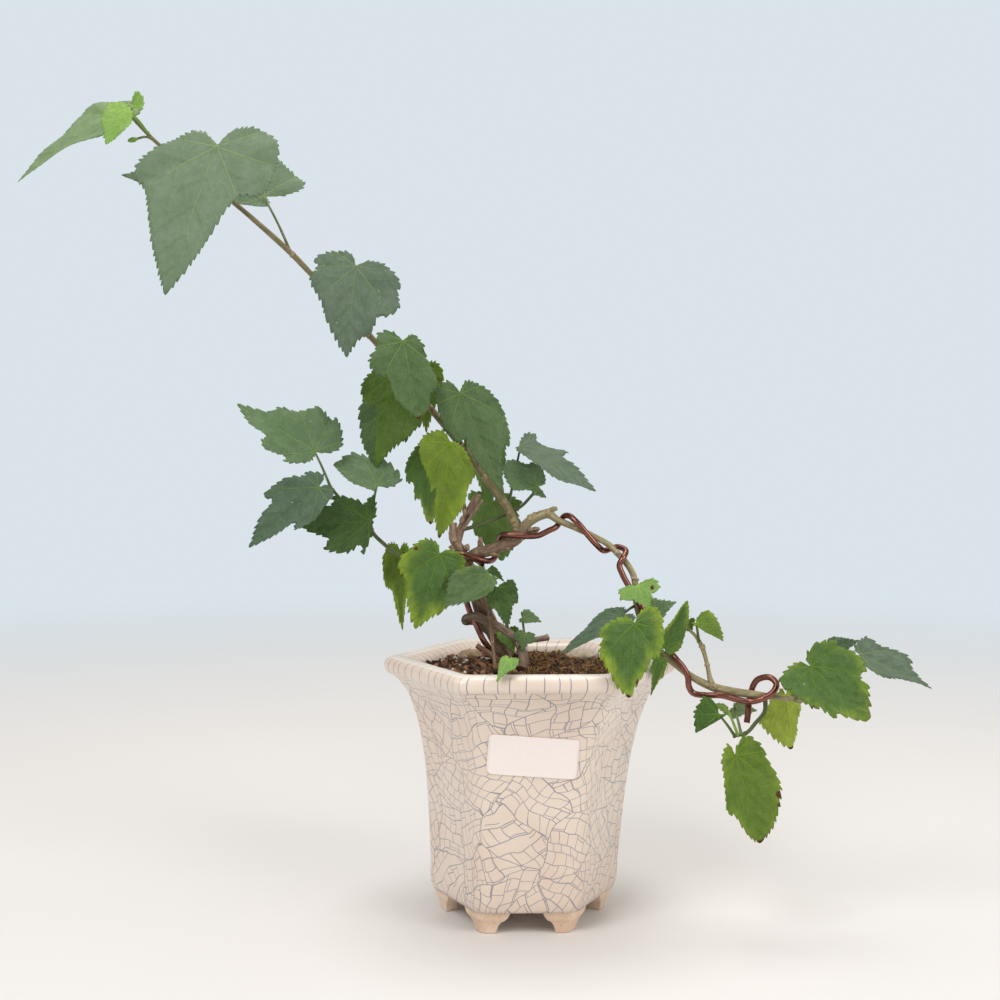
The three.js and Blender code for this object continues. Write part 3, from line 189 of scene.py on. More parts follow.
LEAVES = [
  ["crown_long", [-195.4, -4.4, 397.6], [-200.5, -7, 402.2], [-252, -15, 366],
    [-0.37, -0.66, 0.65], [19, 13], [0, 0], 2, 20],
  ["crown_lime", [-190.4, -3.8, 392.4], [-193.5, -23, 398], [-203.5, -30, 380.5],
    [-0.4, -1, 0.2], [13, 6.5], [0, 0], 8, 10],
  ["leader_broad", [-152.6, -0.4, 362], [-153, -16, 382.5], [-174.5, -32, 307.5],
    [0.05, -1, 0.24], [32, 32], [0.1, 0.5], 6, 14],
  ["leader_far", [-119, 2, 332.8], [-135.5, 16, 364.5], [-212, 24, 378],
    [0, -1, 0.55], [28.5, 10.5], [0.6, 0.4], 6, 8],
  ["leader_upper", [-83, 4, 295.2], [-85.5, -4, 325], [-88.5, -18, 278.5],
    [0, -1, 0.26], [21.5, 24.5], [-0.3, -0.4], 8, 14],
  ["leader_dark", [-66, 3.6, 275.6], [-60, -25, 285.5], [-52, -34, 247.5],
    [0.1, -1, 0.14], [18, 12.5], [0, 0.2], 10, 12],
  ["leader_olive", [-58, 3.4, 266], [-67.5, -12, 269], [-74.5, -18, 224],
    [-0.05, -1, 0.05], [13, 20.5], [0.5, 0.5], 10, 12],
  ["leader_shade", [-51, 3, 257.4], [-67, 0, 255], [-76, 4, 224],
    [-0.2, -1, 0.12], [15.5, 13], [-0.7, 0.8], 10, 10],
  ["leader_behind", [-50, 3, 256], [-52.5, 12, 275], [-51, 16, 242],
    [0.1, -1, 0.2], [10, 10], [0, 0], 8, 10],
  ["fork_broad", [-30, 2, 231.8], [-32.5, -12, 261], [-11, -18, 211],
    [0.06, -1, 0.16], [16, 16.5], [0, 0.7], 10, 12],
  ["fork_behind", [-21.4, 1.2, 220.4], [-22, 10, 239], [-17.6, 11, 201],
    [0.1, -1, 0.1], [10, 11], [0.5, 0.5], 8, 10],
  ["fork_yellow", [-27.5, 1.6, 228.4], [-37, -27, 236], [-42.5, -31, 190],
    [0, -1, 0.08], [14, 13.5], [0.8, 0.6], 10, 12],
  ["fork_green", [-40, 2.6, 244], [-50.5, -6, 233.5], [-47.5, -8, 195.5],
    [-0.15, -1, 0.06], [10, 6.5], [0.8, 0.8], 14, 12],
  ["twig_grey", [4.4, 3, 210.8], [6.5, 1.6, 214.5], [-12, -5, 224],
    [0.1, -1, 0.3], [9.5, 8], [0.4, 0.4], 8, 8],
  ["fork_right", [-8.8, 0, 203], [-2.5, 0.6, 234.5], [35.5, -6, 212.5],
    [0.25, -0.62, 0.8], [10.5, 12.5], [0.5, 0.3], 8, 16],
  ["fork_low", [-10.8, 0.2, 206], [-16, 14, 206], [-12, 15, 175.4],
    [0.1, -1, 0.1], [12.5, 13], [0.2, 0.2], 8, 10],
  ["left_high", [-99, 2.8, 213.6], [-106.5, -2, 232], [-144, -10, 256],
    [0.1, -1, 0.24], [20.5, 13], [0.6, 0.6], 8, 10],
  ["left_low", [-98, 3, 212.4], [-103, -14, 214], [-136, -22, 185],
    [-0.1, -1, 0.2], [15.5, 11.5], [1, 1], 10, 12],
  ["left_level", [-77.4, 3.2, 206.4], [-75.5, 2, 214.5], [-98.5, 8, 225.5],
    [0.1, -1, 0.4], [13.5, 4.5], [-0.2, -0.2], 4, 6],
  ["left_deep", [-78.4, 4.4, 196], [-79, -4, 197], [-112, -10, 194.5],
    [-0.1, -1, 0.18], [14.5, 16.5], [0.7, 0.7], 10, 10],
  ["left_hanging", [-61, 6, 176.8], [-64.5, 11, 181], [-63.5, 14, 139.5],
    [-0.3, -1, 0.04], [8.5, 7], [0.6, 0.6], 12, 10],
  ["trunk_gold", [-27, 2.2, 165], [-43, -13, 181], [-54.5, -21, 145],
    [-0.05, -1, 0.16], [17, 15.5], [0.1, 0.3], 8, 14],
  ["trunk_front", [-22, 1, 157.6], [-18, -19.5, 171], [-40, -26.5, 156.5],
    [0.05, -1, 0.3], [11, 6.5], [0.2, 0.2], 10, 12],
  ["trunk_curl", [-25, -1.6, 165.4], [-18.5, -6, 172.5], [-11, -9, 167.4],
    [0.5, -0.6, 0.9], [4.4, 4], [0, 0], 20, 16],
  ["stick_leaf", [-18.6, -10.5, 158.4], [-14, -15, 164.5], [-9, -21, 145],
    [0.1, -1, 0.2], [7, 9], [0.5, 0.5], 10, 12],
  ["stick_small", [-18.9, -10.4, 161], [-9.8, -11.4, 166], [-4, -12.6, 158.8],
    [0.3, -1, 0.3], [3.4, 4], [0.2, 0.2], 10, 10],
  ["root_level", [-0.4, -5.6, 137.2], [-1.6, -1, 148], [8, -3, 146.2],
    [0.2, -0.6, 0.8], [4.4, 6], [0, 0], 10, 14],
  ["root_round", [-4.2, -9.6, 137.2], [-0.4, -14.4, 142], [-2, -17, 133.4],
    [0.1, -1, 0.2], [5.2, 5], [1, 1], 12, 10],
  ["root_drop", [-12.6, 6.4, 136.4], [-9, 2, 141.4], [-6, 0.4, 129.6],
    [0.1, -1, 0.1], [6.2, 5.6], [0.2, 0.2], 10, 8],
  ["rim_leaf", [-6, -15, 118], [-9, -60, 136.5], [-14.5, -69.5, 127.5],
    [-0.15, -1, 0.75], [3, 5.5], [0.2, 0.2], 8, 16],
  ["bend_small", [54.4, -13.6, 166], [54.4, -22.6, 166.2], [59, -30, 156],
    [0.1, -1, 0.4], [11, 9.5], [0.8, 0.8], 10, 12],
  ["bend_dark", [54.2, -15.6, 156], [46.5, -27, 152.5], [15, -40, 135.5],
    [-0.3, -0.72, 0.8], [6.5, 9.5], [0.1, 0.3], 10, 10],
  ["bend_broad", [58, -18.8, 146], [49.5, -56, 152], [45.5, -71, 120.5],
    [0, -1, 0.42], [16, 14], [-0.6, -0.4], 8, 14],
  ["bend_folded", [61, -20.4, 140.4], [67, -30.6, 137.5], [78.5, -26, 159.5],
    [0.6, -0.9, 0.1], [6.5, 6], [-0.8, -0.8], 20, 10],
  ["bend_grey", [54.7, -15.4, 157.6], [61.6, -14, 151.6], [75, -11, 157.2],
    [0.1, -0.8, 0.5], [5, 7], [0.3, 0.3], 10, 8],
  ["bend_narrow", [66, -23.4, 133.8], [64.6, -31, 131.4], [59, -39, 115.6],
    [0.3, -1, 0.1], [4.6, 3.6], [0.6, 0.6], 14, 10],
  ["rising_leaf", [83.6, -27.2, 140], [82, -30, 149], [94, -36, 141.2],
    [0.3, -0.8, 0.7], [2.5, 10], [0, -0.3], 10, 10],
  ["rising_bud", [78.4, -27, 145.8], [79.6, -23.6, 149.8], [81, -22, 144.6],
    [0.1, -1, 0.1], [3, 2.6], [0, 0], 10, 6],
  ["hanging_deep", [99.4, -36, 95.9], [91, -41, 107], [79.5, -45, 99],
    [-0.1, -1, 0.2], [11, 0.5], [0.4, 0.4], 10, 10],
  ["hanging_lime", [101, -36, 96.2], [97.8, -26, 106.4], [92, -19, 107.8],
    [-0.2, -0.8, -0.6], [4.4, 4], [0.2, 0.2], 8, 8],
  ["hanging_grey", [102.6, -36, 96.6], [101.6, -23, 107], [114, -17, 104],
    [0.1, -0.8, -0.5], [6, 5], [0.3, 0.3], 8, 8],
  ["hanging_broad", [104.6, -36, 97], [98, -46, 88.5], [108, -55, 50],
    [0.1, -1, 0.14], [11.5, 16.5], [-0.7, -0.9], 12, 14],
  ["end_hanging", [123.4, -31, 113.2], [126.5, -24.4, 113], [130.5, -20, 86],
    [0, 1, 0.1], [7.5, 14], [-1, -1], 4, 10],
  ["end_broad", [129.4, -31.4, 112.3], [133.5, -46, 130.5], [157.5, -56, 107],
    [0.1, -1, 0.26], [17.5, 19.5], [0.5, -0.2], 8, 12],
  ["end_shade", [127.4, -30.8, 112.5], [151, -14, 135], [166, -12, 138],
    [0, -1, 0.3], [4.6, 4.6], [0, 0], 8, 6],
  ["end_pointed", [131.6, -31, 111.9], [161.5, -30, 133.5], [194, -36, 118.5],
    [0.3, -0.9, 0.6], [8.5, 10.5], [-0.4, -0.4], 10, 16],
]

# Margins of the leaves that show best, as [degrees from the midrib, millimetres from the stalk's point], from
# the stalk to the tip: first the side of the first width, then the other side.
MARGINS = {
  "leader_broad": [
    [[115, 13], [72, 25], [52, 41], [35, 42], [12, 60]],
    [[155, 12], [130, 23], [103, 31], [72, 34], [55, 35], [37, 30], [12, 53]],
  ],
  "leader_far": [
    [[160, 12], [146, 22], [106, 22], [76, 30], [53, 31], [32, 37], [15, 49]],
    [[130, 6], [95, 9], [66, 10], [30, 17], [18, 34], [9, 51], [5, 63]],
  ],
  "leader_upper": [
    [[155, 8], [122, 15], [96, 21], [84, 19], [62, 24], [35, 26], [20, 33]],
    [[115, 8], [88, 16], [70, 25], [60, 26], [47, 33], [34, 33], [27, 31], [18, 37], [6, 41]],
  ],
  "leader_dark": [
    [[140, 8], [116, 13], [88, 13], [62, 21], [45, 22], [33, 20], [17, 30]],
    [[115, 6], [65, 10], [45, 13], [27, 27], [16, 30], [9, 36]],
  ],
  "leader_olive": [
    [[110, 5], [92, 10], [58, 15], [34, 18], [17, 16], [4, 30]],
    [[95, 5], [66, 12], [49, 27], [32, 31], [22, 33], [10, 37]],
  ],
  "fork_broad": [
    [[160, 8], [125, 12], [95, 13], [78, 14], [53, 18.5], [38, 22.5], [25, 25.5], [16, 23.5], [12, 33]],
    [[135, 6], [110, 8], [74, 13], [50, 21], [33, 28], [21, 35], [15, 35], [9, 38]],
  ],
  "fork_yellow": [
    [[135, 8], [94, 14], [62, 16], [46, 17], [22, 21], [15, 25], [9, 22], [6, 34]],
    [[90, 4], [60, 11], [45, 19], [34, 22], [28, 24], [18, 32]],
  ],
  "fork_green": [
    [[140, 3], [100, 5], [50, 13], [32, 19], [23, 18], [16, 25], [9, 26], [4, 35]],
    [[60, 4], [32, 10], [22, 17], [6, 32]],
  ],
  "fork_right": [
    [[95, 4], [52, 8], [34, 16], [21, 29], [16, 33]],
    [[110, 6], [98, 10], [76, 12], [58, 10], [44, 13], [33, 21], [27, 24], [18, 22], [10, 31]],
  ],
  "fork_low": [
    [[140, 7], [118, 14], [95, 12], [70, 13], [45, 18], [22, 22]],
    [[135, 6], [105, 9], [80, 14], [60, 13], [42, 18], [24, 19], [14, 26]],
  ],
  "twig_grey": [
    [[135, 4], [106, 6], [76, 9], [52, 12], [34, 13], [16, 20]],
    [[150, 7], [95, 5], [45, 6], [35, 14], [23, 17]],
  ],
  "left_high": [
    [[150, 8], [135, 14], [112, 17], [93, 20], [83, 18], [62, 22], [34, 22], [20, 28], [8, 31]],
    [[90, 6], [60, 13], [50, 16], [42, 15], [30, 25], [22, 27], [14, 26], [9, 35]],
  ],
  "left_low": [
    [[150, 7], [96, 10], [82, 9], [54, 17], [34, 27], [25, 23], [14, 31]],
    [[155, 5], [110, 9], [76, 10], [46, 16], [24, 24], [17, 21], [8, 31]],
  ],
  "left_level": [
    [[150, 9], [130, 13], [100, 13], [75, 14], [33, 20], [22, 23]],
    [[80, 3], [28, 8], [16, 15]],
  ],
  "left_deep": [
    [[140, 5], [108, 12], [96, 12], [80, 9], [60, 13], [43, 21], [30, 20], [20, 24]],
    [[115, 4], [94, 7], [76, 17], [65, 13], [50, 20], [30, 26], [20, 22], [8, 28]],
  ],
  "trunk_gold": [
    [[148, 6], [114, 11], [80, 15], [56, 21], [32, 21], [25, 24], [13, 30]],
    [[130, 6], [94, 13], [62, 17], [45, 21], [24, 28], [12, 31]],
  ],
  "trunk_front": [
    [[85, 5], [65, 9], [52, 12], [34, 19]],
    [[115, 4], [60, 8], [24, 15], [10, 20]],
  ],
  "bend_broad": [
    [[118, 6], [76, 14], [64, 18], [54, 18], [44, 22], [34, 24], [11, 31]],
    [[158, 7], [140, 12], [118, 13], [74, 14], [52, 17], [38, 19], [27, 19], [17, 23], [7, 28]],
  ],
  "hanging_deep": [
    [[115, 4], [100, 8], [85, 11], [56, 11], [38, 12]],
    [[115, 2], [60, 2.4], [25, 4]],
  ],
  "hanging_broad": [
    [[165, 6], [92, 7], [45, 13], [27, 26], [19, 27], [8, 36]],
    [[150, 5], [132, 11], [94, 13], [72, 14], [46, 23], [32, 27], [14, 35]],
  ],
  "end_hanging": [
    [[150, 3], [90, 5], [51, 9], [15, 16], [8, 21]],
    [[153, 4], [86, 6], [58, 12], [45, 19], [14, 24]],
  ],
  "end_broad": [
    [[150, 7], [112, 16], [97, 17], [70, 17], [47, 20], [36, 20], [26, 25], [17, 25], [9, 30]],
    [[155, 5], [120, 11], [94, 16], [80, 16], [62, 22], [42, 25], [34, 22], [24, 27], [7, 33]],
  ],
  "end_pointed": [
    [[100, 4], [52, 9], [32, 15], [13, 20], [3, 28]],
    [[140, 5], [92, 10], [58, 11], [36, 17], [20, 23], [12, 24], [4, 29]],
  ],
  "young": [
    [[135, 3.5], [66, 5], [25, 8.2]],
    [[60, 1.4], [22, 5.4], [12, 9.5]],
  ],
  "crown_lime": [
    [[125, 5], [112, 9], [92, 13], [72, 13], [48, 15], [30, 15]],
    [[80, 2], [42, 7], [29, 13], [17, 16]],
  ],
}

# Colour of the upper side of the leaves, and how far its deep patches, veins and under side are from it. The
# glow colour is partly painted backlight: leaves lit through from behind are painted lighter.
TONES = {
    "mist": (98, 126, 82), "grey": (90, 114, 84), "slate": (70, 92, 70), "pine": (56, 82, 58),
    "sage": (82, 112, 72), "moss": (62, 90, 48), "deep": (36, 66, 18), "fresh": (50, 84, 24),
    "lime": (108, 150, 62), "glow": (98, 138, 62), "gold": (72, 100, 12), "bronze": (48, 78, 10),
    "olive": (64, 94, 16), "amber": (148, 168, 66),
}
DEEPER = (-22, -24, -18)
VEINED = (50, 50, 26)
PALER = (32, 26, 32)
# How far the two greens of a stalk are from the colour of its leaf.
STALK_SHADES = ((8, -2, -8), (34, 26, 8))
# The folded young leaf at the end of the leader, as a row of the leaves.
YOUNG_LEAF = ["young", [-198.6, -2, 401.6], [-199, -1, 405], [-196, 1, 414.4], [0.5, -1, 0.1], [4.5, 2.2],
  [0, 0], 24, 8]
# Each leaf's colour, and how far it is darkened towards its deep colour (partly its own colour, partly
# painted shade where the leaf hangs in shadow), how yellow its edge, how brown its tip and how much it is
# specked.
LOOKS = {
    "crown_long": ("mist", 0.1, 0, 0, 0.1), "crown_lime": ("lime", 0.2, 0, 0, 0),
    "leader_broad": ("grey", 0.2, 0.05, 0, 0.15), "leader_far": ("grey", 0.4, 0, 0, 0.1),
    "leader_upper": ("slate", 0.2, 0, 0, 0.7), "leader_dark": ("moss", 0.5, 0.15, 0.8, 0.2),
    "leader_olive": ("bronze", 0.2, 0.3, 0.6, 0), "leader_shade": ("moss", 0.7, 0.1, 0, 0),
    "leader_behind": ("olive", 0.1, 0.6, 0.3, 0), "fork_broad": ("moss", 0.3, 0.15, 0, 0),
    "fork_behind": ("glow", 0.2, 0.2, 0, 0), "fork_yellow": ("gold", 0.2, 0.55, 0.8, 0),
    "fork_green": ("fresh", 0.2, 0.6, 1, 0), "twig_grey": ("sage", 0.3, 0.2, 0, 0),
    "fork_right": ("slate", 0.1, 0, 0, 0.1), "fork_low": ("glow", 0.2, 0.1, 0, 0),
    "left_high": ("sage", 0.2, 0.15, 0, 0.5), "left_low": ("pine", 0.2, 0, 0, 0.5),
    "left_level": ("sage", 0.1, 0.1, 0, 0.1), "left_deep": ("deep", 0.3, 0.1, 0, 0),
    "left_hanging": ("olive", 0.2, 0.8, 0.5, 0), "trunk_gold": ("fresh", 0.3, 0.9, 0.2, 0.2),
    "trunk_front": ("moss", 0.2, 0.35, 0.2, 0), "trunk_curl": ("deep", 0.3, 0.3, 0.6, 0),
    "stick_leaf": ("deep", 0.2, 0.2, 0, 0), "stick_small": ("deep", 0.3, 0, 0, 0),
    "root_level": ("sage", 0.3, 0, 0, 0), "root_round": ("moss", 0.2, 0, 0, 0),
    "root_drop": ("glow", 0.3, 0.2, 0, 0), "rim_leaf": ("glow", 0.3, 0.3, 0, 0),
    "bend_small": ("glow", 0.3, 0.4, 0.6, 0), "bend_dark": ("pine", 0.2, 0, 0, 0),
    "bend_broad": ("fresh", 0.35, 1, 0.8, 0.3), "bend_folded": ("fresh", 0.2, 0.8, 0.5, 0),
    "bend_grey": ("sage", 0.4, 0, 0, 0), "bend_narrow": ("fresh", 0.3, 0.6, 0, 0.4),
    "rising_leaf": ("olive", 0.2, 0.6, 0.4, 0.1), "rising_bud": ("olive", 0.3, 0.2, 0, 0),
    "hanging_deep": ("fresh", 0.5, 0.1, 0, 0.6), "hanging_lime": ("lime", 0.6, 0.6, 0, 0.5),
    "hanging_grey": ("mist", 0.2, 0, 0, 0), "hanging_broad": ("olive", 0.1, 0.6, 1, 0.1),
    "end_hanging": ("amber", 0.1, 0.4, 1, 0.1), "end_broad": ("fresh", 0.0, 0.65, 0.3, 0.9),
    "end_shade": ("pine", 0.5, 0, 0, 0), "end_pointed": ("slate", 0.1, 0, 0, 0),
    "young": ("lime", 0.2, 0, 0, 0),
}
# Brown patches on the blades: millimetres along the midrib and across it, and the size of the patch.
# Across it, minus is the side of the first width.
BURNS = {
    "bend_broad": [(28.5, 4, 2.5)], "hanging_broad": [(22, 14.5, 2.2), (26, 13.2, 1.8)],
    "end_broad": [(13.5, -14.5, 1.5)], "leader_dark": [(7, 9.5, 1.6)], "bend_small": [(4, 6, 1.6)],
    "left_hanging": [(11, 1.5, 2.6)], "trunk_gold": [(1, -12, 1.4)],
}


def pin(x, y, z):
    """A place in the pot's millimetres, in the frame's metres."""
    return Vector(np.array([x, y, z]) * MM + SHIFT)


def tone(red, green, blue):
    """A screen colour as the linear colour that shaders use."""
    shares = (red / 255, green / 255, blue / 255)
    linear = [c / 12.92 if c <= 0.04045 else ((c + 0.055) / 1.055) ** 2.4 for c in shares]
    return (*linear, 1)


class Finish:
    """A material, and short words for its nodes."""

    def __init__(self, name, **constants):
        self.material = bpy.data.materials.new(name)
        self.material.use_nodes = True
        self.tree = self.material.node_tree
        self.shader = self.tree.nodes["Principled BSDF"]
        for socket, value in constants.items():
            self.shader.inputs[socket.replace("_", " ")].default_value = value

    def node(self, kind, inputs=(), **settings):
        node = self.tree.nodes.new("ShaderNode" + kind)
        for key, value in settings.items():
            setattr(node, key, value)
        for key, value in dict(inputs).items():
            if isinstance(value, bpy.types.NodeSocket):
                self.tree.links.new(value, node.inputs[key])
            else:
                node.inputs[key].default_value = value
        return node

    def math(self, operation, a, b=0.0, clamp=False):
        return self.node("Math", {0: a, 1: b}, operation=operation, use_clamp=clamp).outputs[0]

    def times(self, a, b, clamp=False):
        return self.math("MULTIPLY", a, b, clamp)

    def plus(self, a, b, clamp=False):
        return self.math("ADD", a, b, clamp)

    def minus(self, a, b):
        return self.math("SUBTRACT", a, b)

    def step(self, value, low, high, start=0.0, end=1.0):
        return self.node(
            "MapRange", {0: value, 1: low, 2: high, 3: start, 4: end}, interpolation_type="SMOOTHSTEP"
        ).outputs[0]

    def mix(self, amount, a, b):
        return self.node("Mix", {0: amount, 6: a, 7: b}, data_type="RGBA").outputs[2]

    def place(self):
        return self.node("TexCoord").outputs["Object"]

    def layer(self, name, output="Vector"):
        return self.node("Attribute", attribute_name=name).outputs[output]

    def scaled(self, vector, scale):
        return self.node("VectorMath", {0: vector, 1: scale}, operation="MULTIPLY").outputs[0]

    def split(self, vector):
        return self.node("SeparateXYZ", {0: vector}).outputs

    def noise(self, vector, scale, detail=3.0, rough=0.55):
        return self.node(
            "TexNoise", {"Vector": vector, "Scale": scale, "Detail": detail, "Roughness": rough}
        ).outputs[0]

    def cells(self, vector, scale, feature="F1", flat=False, output="Distance"):
        return self.node(
            "TexVoronoi", {"Vector": vector, "Scale": scale}, feature=feature,
            voronoi_dimensions="2D" if flat else "3D",
        ).outputs[output]

    def rows(self, distance, cell, feature="F1", output="Distance"):
        return self.node(
            "TexVoronoi", {"W": distance, "Scale": 1000 / cell, "Randomness": 0.8}, feature=feature,
            voronoi_dimensions="1D",
        ).outputs[output]

    def line(self, edge, cell, width):
        return self.step(edge, 0.5 * width / cell, 1.3 * width / cell, 1.0, 0.0)

    def paint(self, socket, value):
        self.tree.links.new(value, self.shader.inputs[socket])

    def relief(self, height, depth, strength=1.0):
        bump = self.node("Bump", {"Height": height, "Distance": depth * MM, "Strength": strength})
        self.paint("Normal", bump.outputs[0])


LONG_CRACKS = 24  # size of the fields between the long cracks
# Sets of short cracks, each across the one before: distance, width, and the share of fields without them.
SHORT_CRACKS = ((6.0, 0.19, 0.0), (5.4, 0.18, 0.04), (5.2, 0.16, 0.55))
LIP_CRACKS = 4.2
RIM_HIGHLIGHT = (127.9, 128.6)  # heights between which the glaze is painted pale, a painted highlight along the lip's top


def glaze_finish():
    """Cream glaze with long cracks, short ones that stop at them, upright ones across the lip, and a painted
    highlight along the lip's top.
    """
    finish = Finish("crackle_glaze", Roughness=0.28, Coat_Weight=0.25, Coat_Roughness=0.12)
    flat = finish.node("UVMap", uv_map="glaze").outputs[0]
    wavy = {"Vector": flat, "Scale": 42.0, "Detail": 2.0, "Roughness": 0.4}
    wander = finish.node("TexNoise", wavy).outputs[1]
    bent = finish.node(
        "VectorMath", {0: wander, 1: (0.016, 0.016, 0), 2: flat}, operation="MULTIPLY_ADD"
    ).outputs[0]
    crack = finish.line(finish.cells(bent, 1000 / LONG_CRACKS, "DISTANCE_TO_EDGE", True), LONG_CRACKS, 0.22)
    patch = finish.split(finish.cells(bent, 1000 / LONG_CRACKS, "F1", True, "Color"))
    turned = finish.node(
        "VectorRotate", {"Vector": bent, "Angle": finish.times(patch[0], math.pi)}, rotation_type="Z_AXIS"
    ).outputs[0]
    across, along, _ = finish.split(turned)
    jump = finish.times(patch[1], 0.05)
    for cell, width, some in SHORT_CRACKS:
        spot = finish.plus(across, jump)
        here = finish.math("GREATER_THAN", patch[2], some)
        row = finish.line(finish.rows(spot, cell, "DISTANCE_TO_EDGE"), cell, width)
        crack = finish.math("MAXIMUM", crack, finish.times(row, here))
        patch = finish.split(finish.rows(spot, cell, "F1", "Color"))
        jump = finish.plus(jump, finish.times(patch[1], 0.05))
        across, along = along, across
    place = finish.place()
    height = finish.split(place)[2]
    bars = finish.line(finish.rows(finish.split(flat)[0], LIP_CRACKS, "DISTANCE_TO_EDGE"), LIP_CRACKS, 0.17)
    lip = finish.step(height, pin(0, 0, LIP_LOW - 0.3)[2], pin(0, 0, LIP_LOW + 0.3)[2])
    crack = finish.plus(finish.times(crack, finish.minus(1.0, lip)), finish.times(bars, lip))
    cloud = finish.noise(place, 22.0, 4.0)
    cream = finish.mix(finish.step(cloud, 0.35, 0.7), tone(232, 217, 203), tone(224, 204, 188))
    fleck = finish.step(finish.cells(place, 260.0), 0.05, 0.09, 0.35, 0.0)
    cream = finish.mix(fleck, cream, tone(186, 160, 138))
    cream = finish.mix(finish.times(crack, 0.85), cream, tone(124, 125, 142))
    # Painted highlight: the glaze along the top of the lip is painted near white.
    wear_and_highlight = finish.step(height, *(pin(0, 0, z)[2] for z in RIM_HIGHLIGHT), 0.0, 0.7)
    finish.paint("Base Color", finish.mix(wear_and_highlight, cream, tone(250, 246, 240)))
    finish.relief(finish.minus(finish.times(cloud, 0.6), crack), 0.06, 0.5)
    return finish.material


FOOT_STAIN = (22, -35.4, 6.4)


def clay_finish():
    """Bare clay of the feet, a little stained."""
    finish = Finish("bare_clay", Roughness=0.75)
    place = finish.place()
    cloud = finish.noise(place, 60.0, 5.0)
    clay = finish.mix(finish.step(cloud, 0.35, 0.7), tone(240, 217, 196), tone(220, 190, 162))
    pores = finish.step(finish.cells(place, 700.0), 0.1, 0.25, 0.5, 0.0)
    clay = finish.mix(pores, clay, tone(140, 110, 86))
    spot = finish.node(
        "VectorMath", {0: place, 1: pin(*FOOT_STAIN)}, operation="DISTANCE"
    ).outputs["Value"]
    ragged = finish.math("MULTIPLY_ADD", finish.noise(place, 500.0), 0.0016)
    stain = finish.step(finish.plus(spot, ragged), 0.0022, 0.0034, 0.75, 0.0)
    finish.paint("Base Color", finish.mix(stain, clay, tone(92, 90, 88)))
    finish.relief(cloud, 0.4, 0.6)
    return finish.material


def paper_finish():
    finish = Finish("label_paper", Roughness=0.5)
    fibres = finish.noise(finish.place(), 900.0, 4.0)
    finish.paint("Base Color", finish.mix(fibres, tone(250, 241, 237), tone(242, 232, 228)))
    finish.relief(fibres, 0.02, 0.4)
    return finish.material


GREEN_FROM = (245, 285)  # heights between which young bark turns green


def wood_finish(name, dark, middle, light, rough=0.8, grain=1.0, depth=0.35, upper=None):
    """Bark with a grain along each limb, dark cracks and pale cut faces; young wood turns green higher up."""
    finish = Finish(name, Roughness=rough)
    place = finish.place()
    bark = finish.split(finish.layer("bark"))
    along = finish.layer("grain")
    streak = finish.noise(along, 0.9 * grain, 6.0, 0.65)
    patch = finish.noise(place, 140.0, 4.0)
    colour = finish.mix(finish.step(streak, 0.38, 0.66), tone(*middle), tone(*light))
    colour = finish.mix(finish.step(patch, 0.45, 0.62, 0.0, 0.55), colour, tone(*middle))
    crack = finish.step(finish.plus(bark[0], finish.times(streak, 0.8)), 0.1, 0.5, 0.85, 0.0)
    colour = finish.mix(crack, colour, tone(*dark))
    if upper:
        height = finish.split(place)[2]
        ragged = finish.math("MULTIPLY_ADD", streak, 0.02)
        climb = finish.step(finish.minus(height, ragged), *(pin(0, 0, z)[2] for z in GREEN_FROM))
        colour = finish.mix(climb, colour, finish.mix(streak, tone(*upper[0]), tone(*upper[1])))
    colour = finish.mix(bark[1], colour, finish.mix(patch, tone(206, 184, 150), tone(164, 132, 100)))
    finish.paint("Base Color", colour)
    pores = finish.cells(place, 1100.0)
    height = finish.plus(streak, finish.times(pores, 0.25))
    finish.relief(height, depth, 0.8)
    return finish.material


def wire_finish():
    """Copper-brown anodised wire with fine drawing lines."""
    finish = Finish("copper_brown_wire", Metallic=1)
    along = finish.layer("grain")
    lines = finish.noise(finish.scaled(along, (3.2, 3.2, 0.05)), 1.0, 4.0, 0.7)
    wear_and_highlight = finish.noise(finish.place(), 160.0, 3.0)
    colour = finish.mix(finish.step(lines, 0.3, 0.7), tone(118, 74, 64), tone(150, 104, 92))
    colour = finish.mix(finish.step(wear_and_highlight, 0.52, 0.7, 0.0, 0.6), colour, tone(84, 56, 50))
    bark = finish.split(finish.layer("bark"))
    finish.paint("Base Color", finish.mix(bark[1], colour, tone(226, 190, 172)))
    finish.paint("Roughness", finish.step(wear_and_highlight, 0.3, 0.7, 0.24, 0.36))
    finish.relief(lines, 0.05, 0.5)
    return finish.material


def crumb_finish(name, dark, light, rough=0.95):
    """Grainy finish of soil crumbs, moss, perlite or pebbles; each lump has its own shade."""
    finish = Finish(name, Roughness=rough)
    place = finish.place()
    shade = finish.layer("shade", "Fac")
    grit = finish.noise(place, 420.0, 5.0, 0.7)
    both = finish.plus(finish.times(grit, 0.55), finish.times(shade, 0.6))
    finish.paint("Base Color", finish.mix(finish.step(both, 0.25, 0.85), tone(*dark), tone(*light)))
    finish.relief(grit, 0.5, 0.9)
    return finish.material


VEIN_TURN = math.radians(42)  # angle between the main veins that leave the stalk


